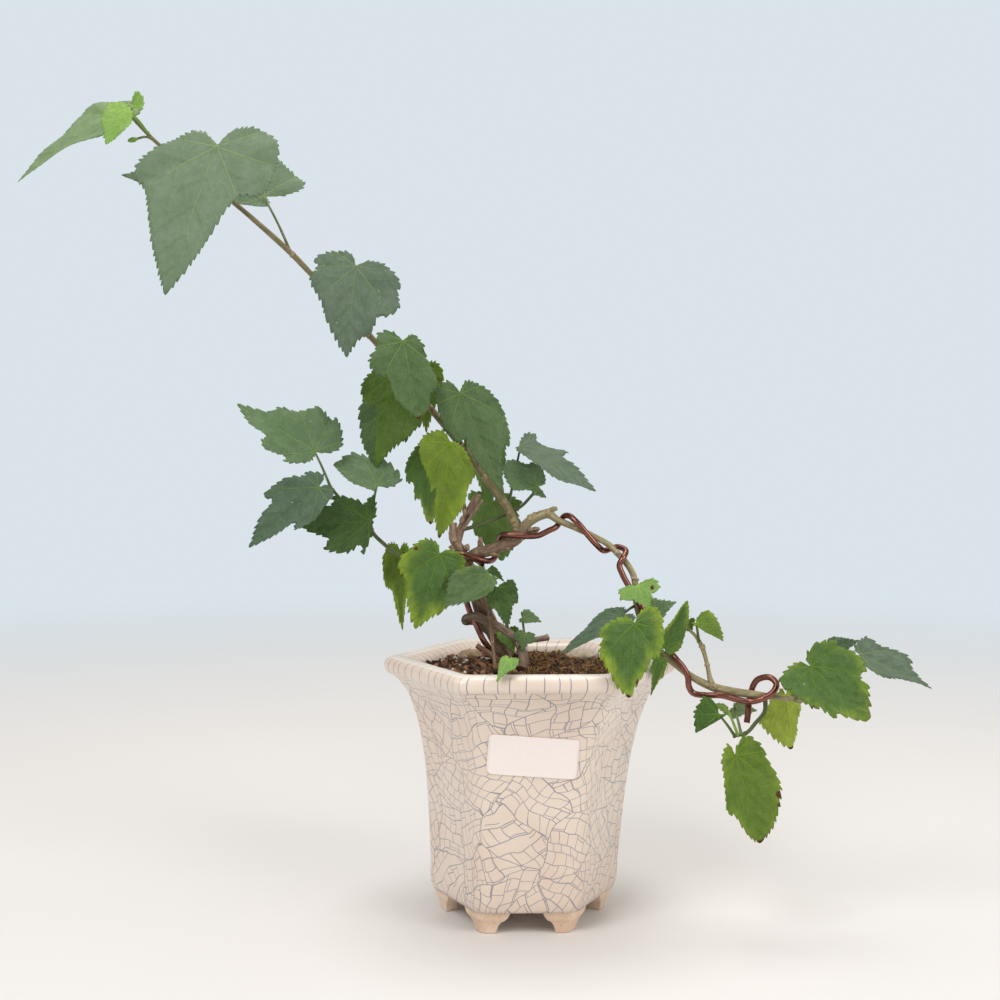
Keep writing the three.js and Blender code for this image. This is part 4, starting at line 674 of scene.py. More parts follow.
def vein_pattern(finish, flat):
    """Main veins from the stalk, side veins off them, a fine net, and the distance to the next side vein."""
    x, y, length = finish.split(flat)
    turn = finish.math("ARCTAN2", finish.math("ABSOLUTE", y), x)
    sector = finish.times(finish.math("ROUND", finish.math("DIVIDE", turn, VEIN_TURN)), VEIN_TURN)
    off = finish.minus(turn, sector)
    squares = finish.plus(finish.times(x, x), finish.times(y, y))
    reach = finish.math("SQRT", squares)
    along = finish.times(reach, finish.math("COSINE", off))
    side = finish.times(reach, finish.math("SINE", off))
    beside = finish.math("ABSOLUTE", side)
    share = finish.math("DIVIDE", along, length)
    width = finish.step(share, 0.0, 0.95, 0.34, 0.1)
    main = finish.step(finish.math("DIVIDE", beside, width), 0.7, 1.5, 1.0, 0.0)
    pitch = finish.times(length, 0.2)
    stagger = finish.times(finish.math("GREATER_THAN", side, 0.0), 0.5)
    slanted = finish.minus(along, finish.times(beside, 1.05))
    rung = finish.plus(finish.math("DIVIDE", slanted, pitch), stagger)
    from_rung = finish.math("ABSOLUTE", finish.minus(finish.math("FRACT", rung), 0.5))
    distance = finish.times(from_rung, finish.times(pitch, 0.69))
    branch = finish.step(distance, 0.06, 0.24, 0.75, 0.0)
    net = finish.step(finish.cells(flat, 0.42, "DISTANCE_TO_EDGE"), 0.02, 0.09, 0.25, 0.0)
    return finish.math("MAXIMUM", main, finish.math("MAXIMUM", branch, net)), distance


def leaf_finish(name, upper, under):
    """Matt blade with pale veins and painted light and shade on its puckers; it yellows from its edge, browns
    at its tip and has pale specks.
    """
    finish = Finish(name, Roughness=0.64, Specular_IOR_Level=0.15)
    face, deep, vein, pale = (tone(*np.add(upper, change)) for change in ((0, 0, 0), DEEPER, VEINED, PALER))
    flat = finish.layer("flat")
    yellow, brown, speck = finish.split(finish.layer("age"))
    veins, distance = vein_pattern(finish, flat)
    place = finish.place()
    cloud = finish.noise(place, 85.0, 4.0, 0.6)
    fine = finish.noise(place, 900.0, 3.0)
    # The leaf's depth darkens it towards its deep colour: partly its own colour, partly painted shade for
    # leaves that hang in shadow.
    own = finish.layer("shade", "Fac")
    blend = finish.plus(finish.step(cloud, 0.35, 0.7, -0.12, 0.22), finish.times(own, 0.9), True)
    if under:
        colour = finish.mix(blend, pale, face)
    else:
        colour = finish.mix(blend, face, deep)
    pucker = finish.cells(flat, 0.3, "SMOOTH_F1")
    # Painted light and shade on the puckers: their middles are painted paler on the upper side and darker on
    # the under side.
    pucker_light_shade = finish.step(pucker, 0.1, 0.7, 0.3, 0.0)
    colour = finish.mix(pucker_light_shade, colour, face if under else vein)
    colour = finish.mix(finish.step(fine, 0.35, 0.75, 0.0, 0.05), colour, tone(196, 206, 180))
    uneven = finish.noise(place, 75.0, 4.0, 0.6)
    ragged = finish.plus(yellow, finish.times(finish.minus(uneven, 0.5), 1.5))
    ragged = finish.minus(ragged, finish.times(veins, 0.12))
    gold = finish.step(ragged, 0.2, 1.1, 0.0, 0.85)
    colour = finish.mix(gold, colour, finish.mix(cloud, tone(160, 178, 62), tone(122, 152, 46)))
    colour = finish.mix(finish.times(veins, 0.75 if under else 0.7), colour, vein)
    scorch = finish.noise(place, 330.0, 3.0, 0.7)
    dry = finish.step(finish.plus(brown, finish.times(scorch, 0.9)), 0.98, 1.12)
    colour = finish.mix(dry, colour, finish.mix(fine, tone(106, 68, 36), tone(52, 34, 22)))
    dots = finish.step(finish.cells(place, 210.0), 0.05, 0.1, 1.0, 0.0)
    some = finish.step(finish.noise(place, 60.0, 1.0), 0.5, 0.6)
    dots = finish.times(finish.times(dots, some), speck, True)
    finish.paint("Base Color", finish.mix(dots, colour, tone(214, 220, 192)))
    swell = finish.step(distance, 0.0, 2.4)
    sunk = finish.math("MULTIPLY_ADD", veins, 0.9 if under else -0.7)
    height = finish.plus(finish.times(swell, -0.7 if under else 0.7), sunk)
    height = finish.plus(height, finish.times(pucker, 0.6 if under else -0.6))
    height = finish.plus(height, finish.times(fine, 0.12))
    finish.relief(height, 0.5, 0.8)
    return finish.material


def stem_finish(name, low, high):
    """Fresh green of stalks and buds, darker on one side of the noise."""
    finish = Finish(name, Roughness=0.5)
    place = finish.place()
    colour = finish.mix(finish.step(finish.noise(place, 120.0), 0.35, 0.65), tone(*low), tone(*high))
    finish.paint("Base Color", colour)
    finish.relief(finish.noise(place, 900.0), 0.12, 0.5)
    return finish.material


class Build:
    """Gathers the points, faces and layers of one piece, in the pot's millimetres."""

    def __init__(self):
        self.points, self.faces, self.picks, self.count = [], [], [], 0
        self.layers = {}

    def add(self, points, faces, pick=0, **layers):
        points = np.asarray(points, float).reshape(-1, 3)
        self.points.append(points)
        self.faces += [[i + self.count for i in face] for face in faces]
        self.picks += [pick] * len(faces)
        for name, (size, blank) in {"bark": (3, 0), "grain": (3, 0), "shade": (1, 0)}.items():
            values = layers.get(name, np.full((len(points), size), float(blank)))
            self.layers.setdefault(name, []).append(np.broadcast_to(values, (len(points), size)))
        for name, blank in (("flat", [30.0, 9.0, 40.0]), ("age", [0.0] * 3)):
            values = layers.get(name, np.tile(blank, (len(points), 1)))
            self.layers.setdefault(name, []).append(values)
        self.count += len(points)
        return self

    def piece(self, name, slot, finishes, *nodes, layers=("bark", "grain"), smooth=True):
        mesh = bpy.data.meshes.new(name)
        mesh.from_pydata((np.concatenate(self.points) * MM + SHIFT).tolist(), [], self.faces)
        for finish in finishes:
            mesh.materials.append(finish)
        mesh.polygons.foreach_set("material_index", self.picks)
        mesh.polygons.foreach_set("use_smooth", [smooth] * len(mesh.polygons))
        for layer in layers:
            values = np.concatenate(self.layers[layer]).astype(np.float32)
            kind, key = ("FLOAT_VECTOR", "vector") if values.shape[1] == 3 else ("FLOAT", "value")
            mesh.attributes.new(layer, kind, "POINT").data.foreach_set(key, values.ravel())
        thing = bpy.data.objects.new(name, mesh)
        bpy.context.collection.objects.link(thing)
        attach(thing, "root")
        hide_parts(*nodes)
        return thing


def unit(vectors):
    return vectors / np.maximum(np.linalg.norm(vectors, axis=-1, keepdims=True), 1e-9)


def weave(count, size, closed=True):
    """The four-sided faces between rows of points; in closed rows the last point joins the first."""
    index = np.arange(count * size).reshape(count, size)
    here, after = (index, np.roll(index, -1, axis=1)) if closed else (index[:, :-1], index[:, 1:])
    return np.stack([here[:-1], after[:-1], after[1:], here[1:]], -1).reshape(-1, 4).tolist()


def between(b, c, start, end, t):
    """The places at shares t of the way from b to c, on the curve with these slopes at its ends."""
    return b + start * t + (3 * (c - b) - 2 * start - end) * t**2 + (2 * (b - c) + start + end) * t**3


def smooth_path(path, pace):
    """Places and radii along the smooth curve through a limb's points, about every pace millimetres."""
    knots = np.array(path, float)
    last = len(knots) - 1
    places, radii = [], []
    for i in range(last):
        b, c = knots[i, :3], knots[i + 1, :3]
        a = knots[i - 1, :3] if i else 2 * b - c
        d = knots[i + 2, :3] if i + 2 <= last else 2 * c - b
        gaps = [np.linalg.norm(q - p) ** 0.5 for p, q in ((a, b), (b, c), (c, d))]
        start = ((b - a) / gaps[0] - (c - a) / (gaps[0] + gaps[1]) + (c - b) / gaps[1]) * gaps[1]
        end = ((c - b) / gaps[1] - (d - b) / (gaps[1] + gaps[2]) + (d - c) / gaps[2]) * gaps[1]
        steps = max(round(np.linalg.norm(c - b) / pace), 1)
        t = np.arange(steps + (i == last - 1))[:, None] / steps
        places.append(between(b, c, start, end, t))
        radii.append(knots[i, 3] + (knots[i + 1, 3] - knots[i, 3]) * t[:, 0])
    return np.concatenate(places), np.concatenate(radii)


def tube(build, path, sides=14, pace=1.0, rough=0.0, twist=0.0, seed=0, cut=(0, 1), pick=0):
    """A limb with bark ridges that run along it. cut marks which of its ends show a cut face."""
    centre, radius = smooth_path(path, pace)
    ahead = unit(np.gradient(centre, axis=0))
    side = np.array([0.31, -1, 0.17])
    frames = []
    for way in ahead:
        side = unit(side - way * side.dot(way))
        frames.append((side, np.cross(way, side)))
    frames = np.array(frames)
    length = np.concatenate([[0], np.cumsum(np.linalg.norm(np.diff(centre, axis=0), axis=1))])
    angles = np.arange(sides) * 2 * math.pi / sides
    relief = np.zeros((len(centre), sides))
    grain = np.zeros((len(centre), sides, 3))
    for i, s in enumerate(length):
        for j, angle in enumerate(angles):
            turn = angle + twist * s
            ring = Vector((math.cos(turn), math.sin(turn), 0))
            spot = ring * 1.7 + Vector((seed * 3.7, 0, s * 0.11))
            relief[i, j] = noise.noise(spot) + 0.5 * noise.noise(spot * 2.3 + Vector((0, 9, s * 0.2)))
            grain[i, j] = ring * radius[i] + Vector((seed * 7.3, 0, s * 0.16))
    swell = 1 + rough * relief
    rim = np.cos(angles)[:, None] * frames[:, :1] + np.sin(angles)[:, None] * frames[:, 1:]
    rings = centre[:, None] + rim * (radius[:, None] * swell)[..., None]
    bark = np.zeros((len(centre), sides, 3))
    bark[..., 0] = 0.5 + relief if rough else 0.6
    count = len(centre)
    build.add(rings, weave(count, sides), pick, bark=bark.reshape(-1, 3), grain=grain.reshape(-1, 3))
    for end, marked in ((0, 0 in cut), (count - 1, 1 in cut)):
        way = ahead[end] * (1 if end else -1)
        bulge = centre[end] + way * radius[end] * (0.12 if marked else 0.45)
        edge = rings[end]
        inner = centre[end] + (edge - centre[end]) * 0.72 + way * radius[end] * (0.1 if marked else 0.3)
        points = np.concatenate([edge, inner, bulge[None]])
        faces = []
        for j in range(sides):
            k = (j + 1) % sides
            loop = [(j, k, sides + k, sides + j), (sides + j, sides + k, 2 * sides)]
            faces += loop if end else [face[::-1] for face in loop]
        shade = np.tile([0.6, 0.85 if marked else 0.0, 0.0], (len(points), 1))
        build.add(points, faces, pick, bark=shade, grain=points * 0.4)
    return build


def ball(detail):
    """Points and faces of a round ball one in radius."""
    shape = bmesh.new()
    bmesh.ops.create_icosphere(shape, subdivisions=detail, radius=1)
    points = np.array([v.co[:] for v in shape.verts])
    faces = [[v.index for v in face.verts] for face in shape.faces]
    shape.free()
    return points, faces


BALLS = {detail: ball(detail) for detail in (1, 2, 3, 5)}


def lump(build, at, sizes, seed=0, rough=0.25, detail=2, pick=0, cut=0.0, turn=None, shade=0.5):
    """An uneven round lump."""
    points, faces = BALLS[detail]
    away = Vector((seed * 5.1, seed, 0))
    swell = np.array([1 + rough * noise.noise(Vector(p) * 1.6 + away) for p in points])
    shaped = points * swell[:, None] * np.array(sizes)
    if turn is not None:
        shaped = shaped @ turn.T
    bark = np.stack([0.3 + swell * 0.5, np.full(len(points), cut), np.zeros(len(points))], 1)
    shades = np.full((len(points), 1), shade)
    build.add(shaped + np.array(at), faces, pick, bark=bark, grain=shaped + seed, shade=shades)


# Pot and label


def pot_ring(radius, corner, height):
    """One level ring round the pot: six rounded corners and the flats between them."""
    centre = radius - corner * CORNER_REACH
    arcs = []
    for k in range(6):
        middle = POT_YAW + k * SIDE_TURN
        turns = middle + np.linspace(-0.5, 0.5, 9) * SIDE_TURN
        arcs.append(np.stack([
            POT_SHIFT + POT_LEAN * height + centre * math.cos(middle) + corner * np.cos(turns),
            centre * math.sin(middle) + corner * np.sin(turns), np.full(9, height),
        ], 1))
    ring = []
    for k, arc in enumerate(arcs):
        follow = arcs[(k + 1) % 6][0]
        flats = [arc[-1] + (follow - arc[-1]) * t for t in (0.17, 0.33, 0.5, 0.67, 0.83)]
        ring += [*arc, *flats]
    return np.array(ring)


def profile(points, pace):
    places, _ = smooth_path([[radius, 0, height, 0] for height, radius in points], pace)
    return places[:, [2, 0]]


CORNER_CRACKS = 1.35  # the cracks are this much closer round the upright edges


def pot():
    outside = profile(POT_OUTSIDE, 1.6)
    outside[:, 1] = np.minimum(outside[:, 1], WIDEST)
    inside = profile([POT_OUTSIDE[-1], *POT_INSIDE], 3)[1:]
    drain = DRAIN * CORNER_REACH
    rows = [(FOOT_HEIGHT, drain, DRAIN)]
    rows += [(z, radius, POT_CORNER) for z, radius in [*outside, *inside]]
    rows += [(FLOOR, drain, DRAIN)]
    rings = [pot_ring(radius, corner, z) for z, radius, corner in rows]
    path = np.array([(z, radius) for z, radius, _ in rows])
    runs = np.linalg.norm(np.diff(path, axis=0), axis=1)
    height = np.concatenate([[0], np.cumsum(runs)])
    size = len(rings[0])
    middle = pot_ring(POT_OUTSIDE[2][1], POT_CORNER, POT_OUTSIDE[2][0])
    spans = np.linalg.norm(np.roll(middle, -1, axis=0) - middle, axis=1)
    spans *= np.tile([CORNER_CRACKS] * 8 + [1] * 6, 6)
    start = size // 12  # the seam of the crackle lies on the back
    spans = np.roll(spans, -start)
    around = np.concatenate([[0], np.cumsum(spans)])
    faces, corners = [], []
    for i in range(len(rings)):
        follow = (i + 1) % len(rings)
        v = (height[i], height[follow] if follow else height[i] + 6)
        for j in range(size):
            k = (j + 1) % size
            faces.append((i * size + j, i * size + k, follow * size + k, follow * size + j))
            u, after = around[(j - start) % size], around[(j - start) % size + 1]
            corners += [(u, v[0]), (after, v[0]), (after, v[1]), (u, v[1])]
    build = Build().add(np.concatenate(rings), faces)
    thing = build.piece("pot_glazed", "pot_glaze", [glaze_finish()], "pot", layers=())
    layer = thing.data.uv_layers.new(name="glaze")
    layer.data.foreach_set("uv", (np.array(corners) * MM).ravel())
    return outside


FOOT_EDGE = 0.8  # width of the soft edges of the feet


def feet():
    """A foot follows the two sides of its corner and narrows downwards in a soft step."""
    build = Build()
    lengths, _ = smooth_path([[length, inset, z, 0] for z, length, inset in FOOT_LENGTHS], 0.7)
    for k in range(6):
        middle = POT_YAW + k * SIDE_TURN
        outward = np.array([math.cos(middle), math.sin(middle), 0])
        ways = []
        for hand in (-1, 1):
            along = middle + hand * 2 * SIDE_TURN
            inward = along + hand * math.pi / 2
            ways.append([np.array([math.cos(turn), math.sin(turn), 0]) for turn in (along, inward)])
        (right, right_in), (left, left_in) = ways
        rings = []
        for length, inset, z in lengths:
            corner = outward * (POT_OUTSIDE[0][1] - inset) + np.array([POT_SHIFT + POT_LEAN * z, 0, z])
            hub = corner - outward * FOOT_CORNER * CORNER_REACH
            turns = middle + np.linspace(-0.5, 0.5, 7) * SIDE_TURN
            arc = [hub + FOOT_CORNER * np.array([math.cos(t), math.sin(t), 0]) for t in turns]
            rings.append([
                corner + right * length, *arc, corner + left * length,
                corner + left * length + left_in * FOOT_DEPTH, corner - outward * FOOT_DEPTH * CORNER_REACH,
                corner + right * length + right_in * FOOT_DEPTH,
            ])
        rings = np.array(rings)
        count, size = rings.shape[:2]
        ends = [list(range(size))[::-1], list(range((count - 1) * size, count * size))]
        build.add(rings, [*weave(count, size), *ends])
    thing = build.piece("pot_feet_clay", "pot_glaze", [clay_finish()], "pot", layers=(), smooth=False)
    bevel = thing.modifiers.new("soft_edges", "BEVEL")
    bevel.width = FOOT_EDGE * MM
    bevel.segments = 3
    bevel.limit_method = "ANGLE"
    bevel.angle_limit = math.radians(32)
    for polygon in thing.data.polygons:
        polygon.use_smooth = True


LABEL = {"x": 1.4, "z": 88.6, "width": 43, "height": 19.5, "tilt": math.radians(-4.3), "corner": 2}
PAPER_GAP = 0.4  # from the glaze to the middle of the paper
PAPER = 0.22


def label(outside):
    """A blank paper label with rounded corners that follows the front wall."""
    half, corner = LABEL["height"] / 2, LABEL["corner"]
    ease = corner * (1 - np.cos(np.linspace(0, math.pi / 2, 6)))
    straight = np.linspace(-half + corner, half - corner, 12)[1:-1]
    ups = np.concatenate([-half + ease, straight, half - ease[::-1]])
    past = np.maximum(np.abs(ups) - (half - corner), 0)
    reach = LABEL["width"] / 2 - corner + np.sqrt(np.maximum(corner**2 - past**2, 0))
    across = np.linspace(-1, 1, 25)[None, :] * reach[:, None]
    up = np.broadcast_to(ups[:, None], across.shape)
    x = LABEL["x"] + across * math.cos(LABEL["tilt"]) - up * math.sin(LABEL["tilt"])
    z = LABEL["z"] + across * math.sin(LABEL["tilt"]) + up * math.cos(LABEL["tilt"])
    y = -np.interp(z, outside[:, 0], outside[:, 1]) / CORNER_REACH - PAPER_GAP
    middle = POT_SHIFT + POT_LEAN * z
    cos, sin = math.cos(POT_YAW), math.sin(POT_YAW)
    points = np.stack([middle + (x - middle) * cos - y * sin, (x - middle) * sin + y * cos, z], -1)
    build = Build().add(points, weave(*across.shape, closed=False))
    thing = build.piece("blank_label", "label_paper", [paper_finish()], "pot_label", layers=())
    thicken = thing.modifiers.new("paper", "SOLIDIFY")
    thicken.thickness = PAPER * MM
    thicken.offset = 0


# Soil and stones


SETTLED = 1.2  # the crumbs lie this far below the surface of the plain solid


def soil_height(x, y):
    away = min(math.hypot(x, y) / SOIL_REACH, 1)
    lumps = 0.5 * math.sin(0.33 * x + 1) * math.cos(0.29 * y) + 0.35 * math.sin(0.61 * x - 0.47 * y)
    return SOIL_EDGE + SOIL_HEAP * (1 - away * away) + lumps - SETTLED


SPREAD = 55  # the pieces on the soil are drawn within this reach of its middle


def scattered(count, draw):
    """Places spread over the soil, inside its six sides."""
    found = []
    while len(found) < count:
        x, y = draw.uniform(-SPREAD * 1.2, SPREAD * 1.2), draw.uniform(-SPREAD, SPREAD)
        turn = math.atan2(y, x) - POT_YAW
        fold = abs((turn + SIDE_TURN / 2) % SIDE_TURN - SIDE_TURN / 2)
        if math.hypot(x, y) * math.cos(SIDE_TURN / 2 - fold) < SPREAD * 0.895:
            found.append((x + POT_LEAN * SOIL_EDGE + POT_SHIFT, y))
    return found


def random_turn(draw):
    spin = Vector([draw.gauss(0, 1) for _ in range(3)]).normalized()
    return np.array(Matrix.Rotation(draw.uniform(0, 6.28), 3, spin))


MOSSY = -2  # to the right of this place the soil is fine and overgrown with moss
SOIL_GAP = 0.5  # between the soil and the pot's wall
SOIL_LOWER = (100, 118)  # heights of the two hidden rows under the soil's edge
# Places drawn on the soil for each kind of piece; all but the crumbs leave some out.
CRUMBS, CHIPS, GRAINS, THREADS = 1700, 130, 150, 2600
THREAD = (0.3, 0.23, 0.18, 0.13)  # radii of a moss thread from its root to its end


def soil():
    dark = crumb_finish("soil_dark", (30, 21, 16), (104, 76, 56))
    brown = crumb_finish("soil_brown", (56, 38, 26), (150, 110, 78))
    rust = crumb_finish("rusty_moss", (112, 70, 38), (190, 140, 84), 0.9)
    green = crumb_finish("olive_moss", (62, 62, 28), (140, 130, 66), 0.9)
    white = crumb_finish("perlite", (176, 172, 156), (232, 228, 214), 0.85)

    inner = profile(POT_INSIDE, 3)[::-1]
    walls = [np.interp(z, inner[:, 0], inner[:, 1]) - SOIL_GAP for z in (*SOIL_LOWER, SOIL_RIM)]
    *rings, edge = [pot_ring(wall, POT_CORNER, z) for wall, z in zip(walls, (*SOIL_LOWER, SOIL_RIM))]
    shares = np.linspace(0.02, 1, 52)[::-1]
    hub = np.array([POT_SHIFT + POT_LEAN * SOIL_RIM, 0])
    for share in shares:
        ring = edge.copy()
        ring[:, :2] = hub + (edge[:, :2] - hub) * share
        if share < 1:
            for p in ring:
                rough = noise.fractal(Vector((p[0], p[1], 0)) * 0.16, 0.7, 2.2, 4)
                p[2] = soil_height(p[0], p[1]) + 1.1 * rough - 0.5
        rings.append(ring)
    rings = np.array(rings)
    count, size = rings.shape[:2]
    top = list(range((count - 1) * size, count * size))
    shade = np.full((count * size, 1), 0.2)
    ground = Build().add(rings, [*weave(count, size), top], shade=shade)
    ground.piece("soil_ground", "soil", [dark], "soil", layers=("shade",))

    draw = random.Random(4)
    crumbs = Build()
    for n, (x, y) in enumerate(scattered(CRUMBS, draw)):
        size = draw.choice((0.7, 0.9, 1.1, 1.5, 2.1)) * draw.uniform(0.8, 1.2)
        if x > MOSSY:
            size = draw.uniform(0.5, 1)
        sizes = [size * draw.uniform(0.6, 1.2) for _ in range(3)]
        z = soil_height(x, y) + draw.uniform(-0.5, 0.5)
        pick = draw.choice((0, 0, 1))
        lump(crumbs, (x, y, z), sizes, n * 0.37, 0.9, 1, pick, turn=random_turn(draw), shade=draw.random())
    crumbs.piece("soil_crumbs", "soil", [dark, brown], "soil", layers=("shade",), smooth=False)

    chips = Build()
    for n, (x, y) in enumerate(scattered(CHIPS, draw)):
        if x > MOSSY:
            continue
        sizes = [draw.uniform(2, 4.4), draw.uniform(0.8, 1.6), draw.uniform(0.4, 0.8)]
        z = soil_height(x, y) + 0.8
        lump(chips, (x, y, z), sizes, n, 0.5, 2, 0, turn=random_turn(draw), shade=draw.random())
    chips.piece("soil_bark_chips", "soil", [brown], "soil", layers=("shade",))

    perlite = Build()
    for n, (x, y) in enumerate(scattered(GRAINS, draw)):
        if x > MOSSY - 6:
            continue
        size = draw.uniform(0.8, 1.9)
        z = soil_height(x, y) + draw.uniform(0.2, 0.9)
        sizes = [size, size * 0.8, size * 0.6]
        lump(perlite, (x, y, z), sizes, n, 0.7, 2, 0, turn=random_turn(draw), shade=draw.random())
    perlite.piece("soil_perlite", "soil", [white], "soil", layers=("shade",))

    moss = Build()
    for x, y in scattered(THREADS, draw):
        share = 1 if x > MOSSY else 0.25
        if draw.random() > share:
            continue
        z = soil_height(x, y)
        lean = Vector((draw.uniform(-1, 1), draw.uniform(-1, 1), draw.uniform(0.4, 1.6)))
        reach = draw.uniform(1.6, 3) if x > MOSSY else draw.uniform(0.9, 2)
        path = [[x, y, z - 0.6, THREAD[0]]]
        for radius in THREAD[1:]:
            lean += Vector((draw.uniform(-1, 1), draw.uniform(-1, 1), draw.uniform(-0.8, 0.3)))
            move = lean.normalized() * reach / 2
            x, y, z = path[-1][:3]
            path.append([x + move.x, y + move.y, z + move.z * 0.8, radius])
        pick = 0 if draw.random() < 0.72 else 1
        strand(moss, path, pick, draw.random())
    moss.piece("soil_moss", "soil", [rust, green], "soil", layers=("shade",))


def strand(build, path, pick, shade):
    """A thin three-sided thread."""
    knots = np.array(path)
    ring = np.array([[math.cos(a), math.sin(a), 0] for a in (0, 2.09, 4.19)])
    rings = knots[:, None, :3] + ring[None] * knots[:, 3][:, None, None]
    rings[:, :, 2] += ring[None, :, 1] * 0.12
    count = len(knots)
    end = [3 * count - 3, 3 * count - 2, 3 * count - 1]
    build.add(rings, [*weave(count, 3), end], pick, shade=np.full((3 * count, 1), shade))


def stones():
    pale = crumb_finish("pebble_pale", (120, 108, 92), (206, 192, 168), 0.8)
    tan = crumb_finish("pebble_tan", (112, 88, 66), (190, 162, 128), 0.8)
    for name, finish, at, sizes in (
        ("pale", pale, STONE_PALE, PALE_SIZES), ("tan", tan, STONE_TAN, TAN_SIZES),
    ):
        build = Build()
        lump(build, at, sizes, len(name), 0.16, 5)
        build.piece(f"pebble_{name}", "stone", [finish], f"stone_{name}", layers=("shade",))


# Wood and wire

# Buds, scars and torn ends on the wood: place and half sizes.
TRUNK_BUDS = [
    [(-36.4, -1.6, 187.4), (1.9, 1.5, 1.7)], [(-38, -1, 191), (0.9, 0.9, 1.3)],
    [(-36.8, -0.4, 183.4), (1.8, 1.4, 1.2)], [(-29.6, -2.2, 183.6), (1.6, 1.4, 1.6)],
    [(-25.2, -2.6, 180.6), (1.7, 1.4, 1.5)], [(-22.8, -1.6, 186.6), (1.4, 1.2, 2)],
    [(-16.4, -2, 180.2), (2.1, 1.4, 1)], [(-9.4, -1.6, 183), (1.6, 1.2, 1)],
    [(-24.4, 3, 209.6), (2.1, 1.9, 1)], [(-31.8, -0.6, 197.4), (1.6, 1.3, 2)],
    [(5.4, -0.4, 193), (1.8, 0.9, 1)], [(2.6, -1.2, 192.6), (1.5, 0.9, 1.1)],
    [(-0.4, -2.4, 195.6), (1, 1, 1.8)], [(-5, -2.2, 192.2), (1.8, 1.4, 1.5)],
    [(-3.4, -14, 136.8), (1.7, 1.4, 1.9)], [(10.9, 3.4, 137.4), (1.5, 1.7, 1.6)],
    [(-30.6, -1, 201.4), (1, 1, 1.8)],
]
LEADER_BUDS = [
    [(-6.8, -1.6, 197.4), (1.9, 1.6, 1.8)], [(-5, -1.8, 195), (1.6, 1.3, 1.2)],
    [(-8.4, -1.4, 201.6), (1.3, 1.2, 1.2)], [(-11.2, -1, 206.6), (2.5, 2.2, 1.7)],
    [(-20.2, -0.6, 219), (2.3, 1.9, 1.4)], [(-31.9, 0.8, 234.2), (1.8, 1.7, 1.5)],
    [(-48.6, 2, 254.4), (1.7, 1.6, 1.4)], [(-80.2, 3.2, 292), (1.7, 1.5, 2)],
    [(-118.4, 1.4, 332.2), (1.6, 1.5, 1.8)],
]
CASCADE_BUDS = [
    [(2, -3, 198.6), (1.4, 1.2, 2)], [(4.4, -2.6, 199.8), (1.2, 1.1, 1.7)],
    [(11.2, -3.2, 201.4), (2.1, 1.7, 1.6)], [(14.9, -2.2, 203.2), (1.4, 1.2, 1)],
    [(25.4, -4.8, 193.2), (1.6, 1.4, 1.2)], [(45.8, -8.8, 181.4), (1.6, 1.4, 1.4)],
    [(54, -13, 168.8), (1.8, 1.6, 1.3)], [(54.8, -17, 156), (1.8, 1.6, 1.4)],
    [(90.2, -30, 118.4), (2.4, 2, 1.6)], [(87.6, -28.4, 128.4), (1.4, 1.3, 1.1)],
    [(85.2, -27.8, 137.2), (1.4, 1.2, 1.5)], [(115, -31.6, 113.4), (2, 1.7, 1.6)],
    [(131.6, -31, 111.8), (1.7, 1.5, 1.3)], [(127.6, -31.4, 112.6), (1.4, 1.2, 1.2)],
]
TWIG_BUDS = [
    [(-78.4, 4.6, 191.6), (1.4, 1.3, 1.5)], [(-61.6, 5.4, 176.9), (1.5, 1.3, 1.1)],
    [(-44, 4.6, 167.2), (1.3, 1.2, 1)], [(-99.2, 2.6, 213.8), (1.1, 1, 1.1)],
]


def buds(build, places):
    for n, (at, sizes) in enumerate(places):
        lump(build, at, sizes, n + 0.5, 0.5, 3, cut=0.35)


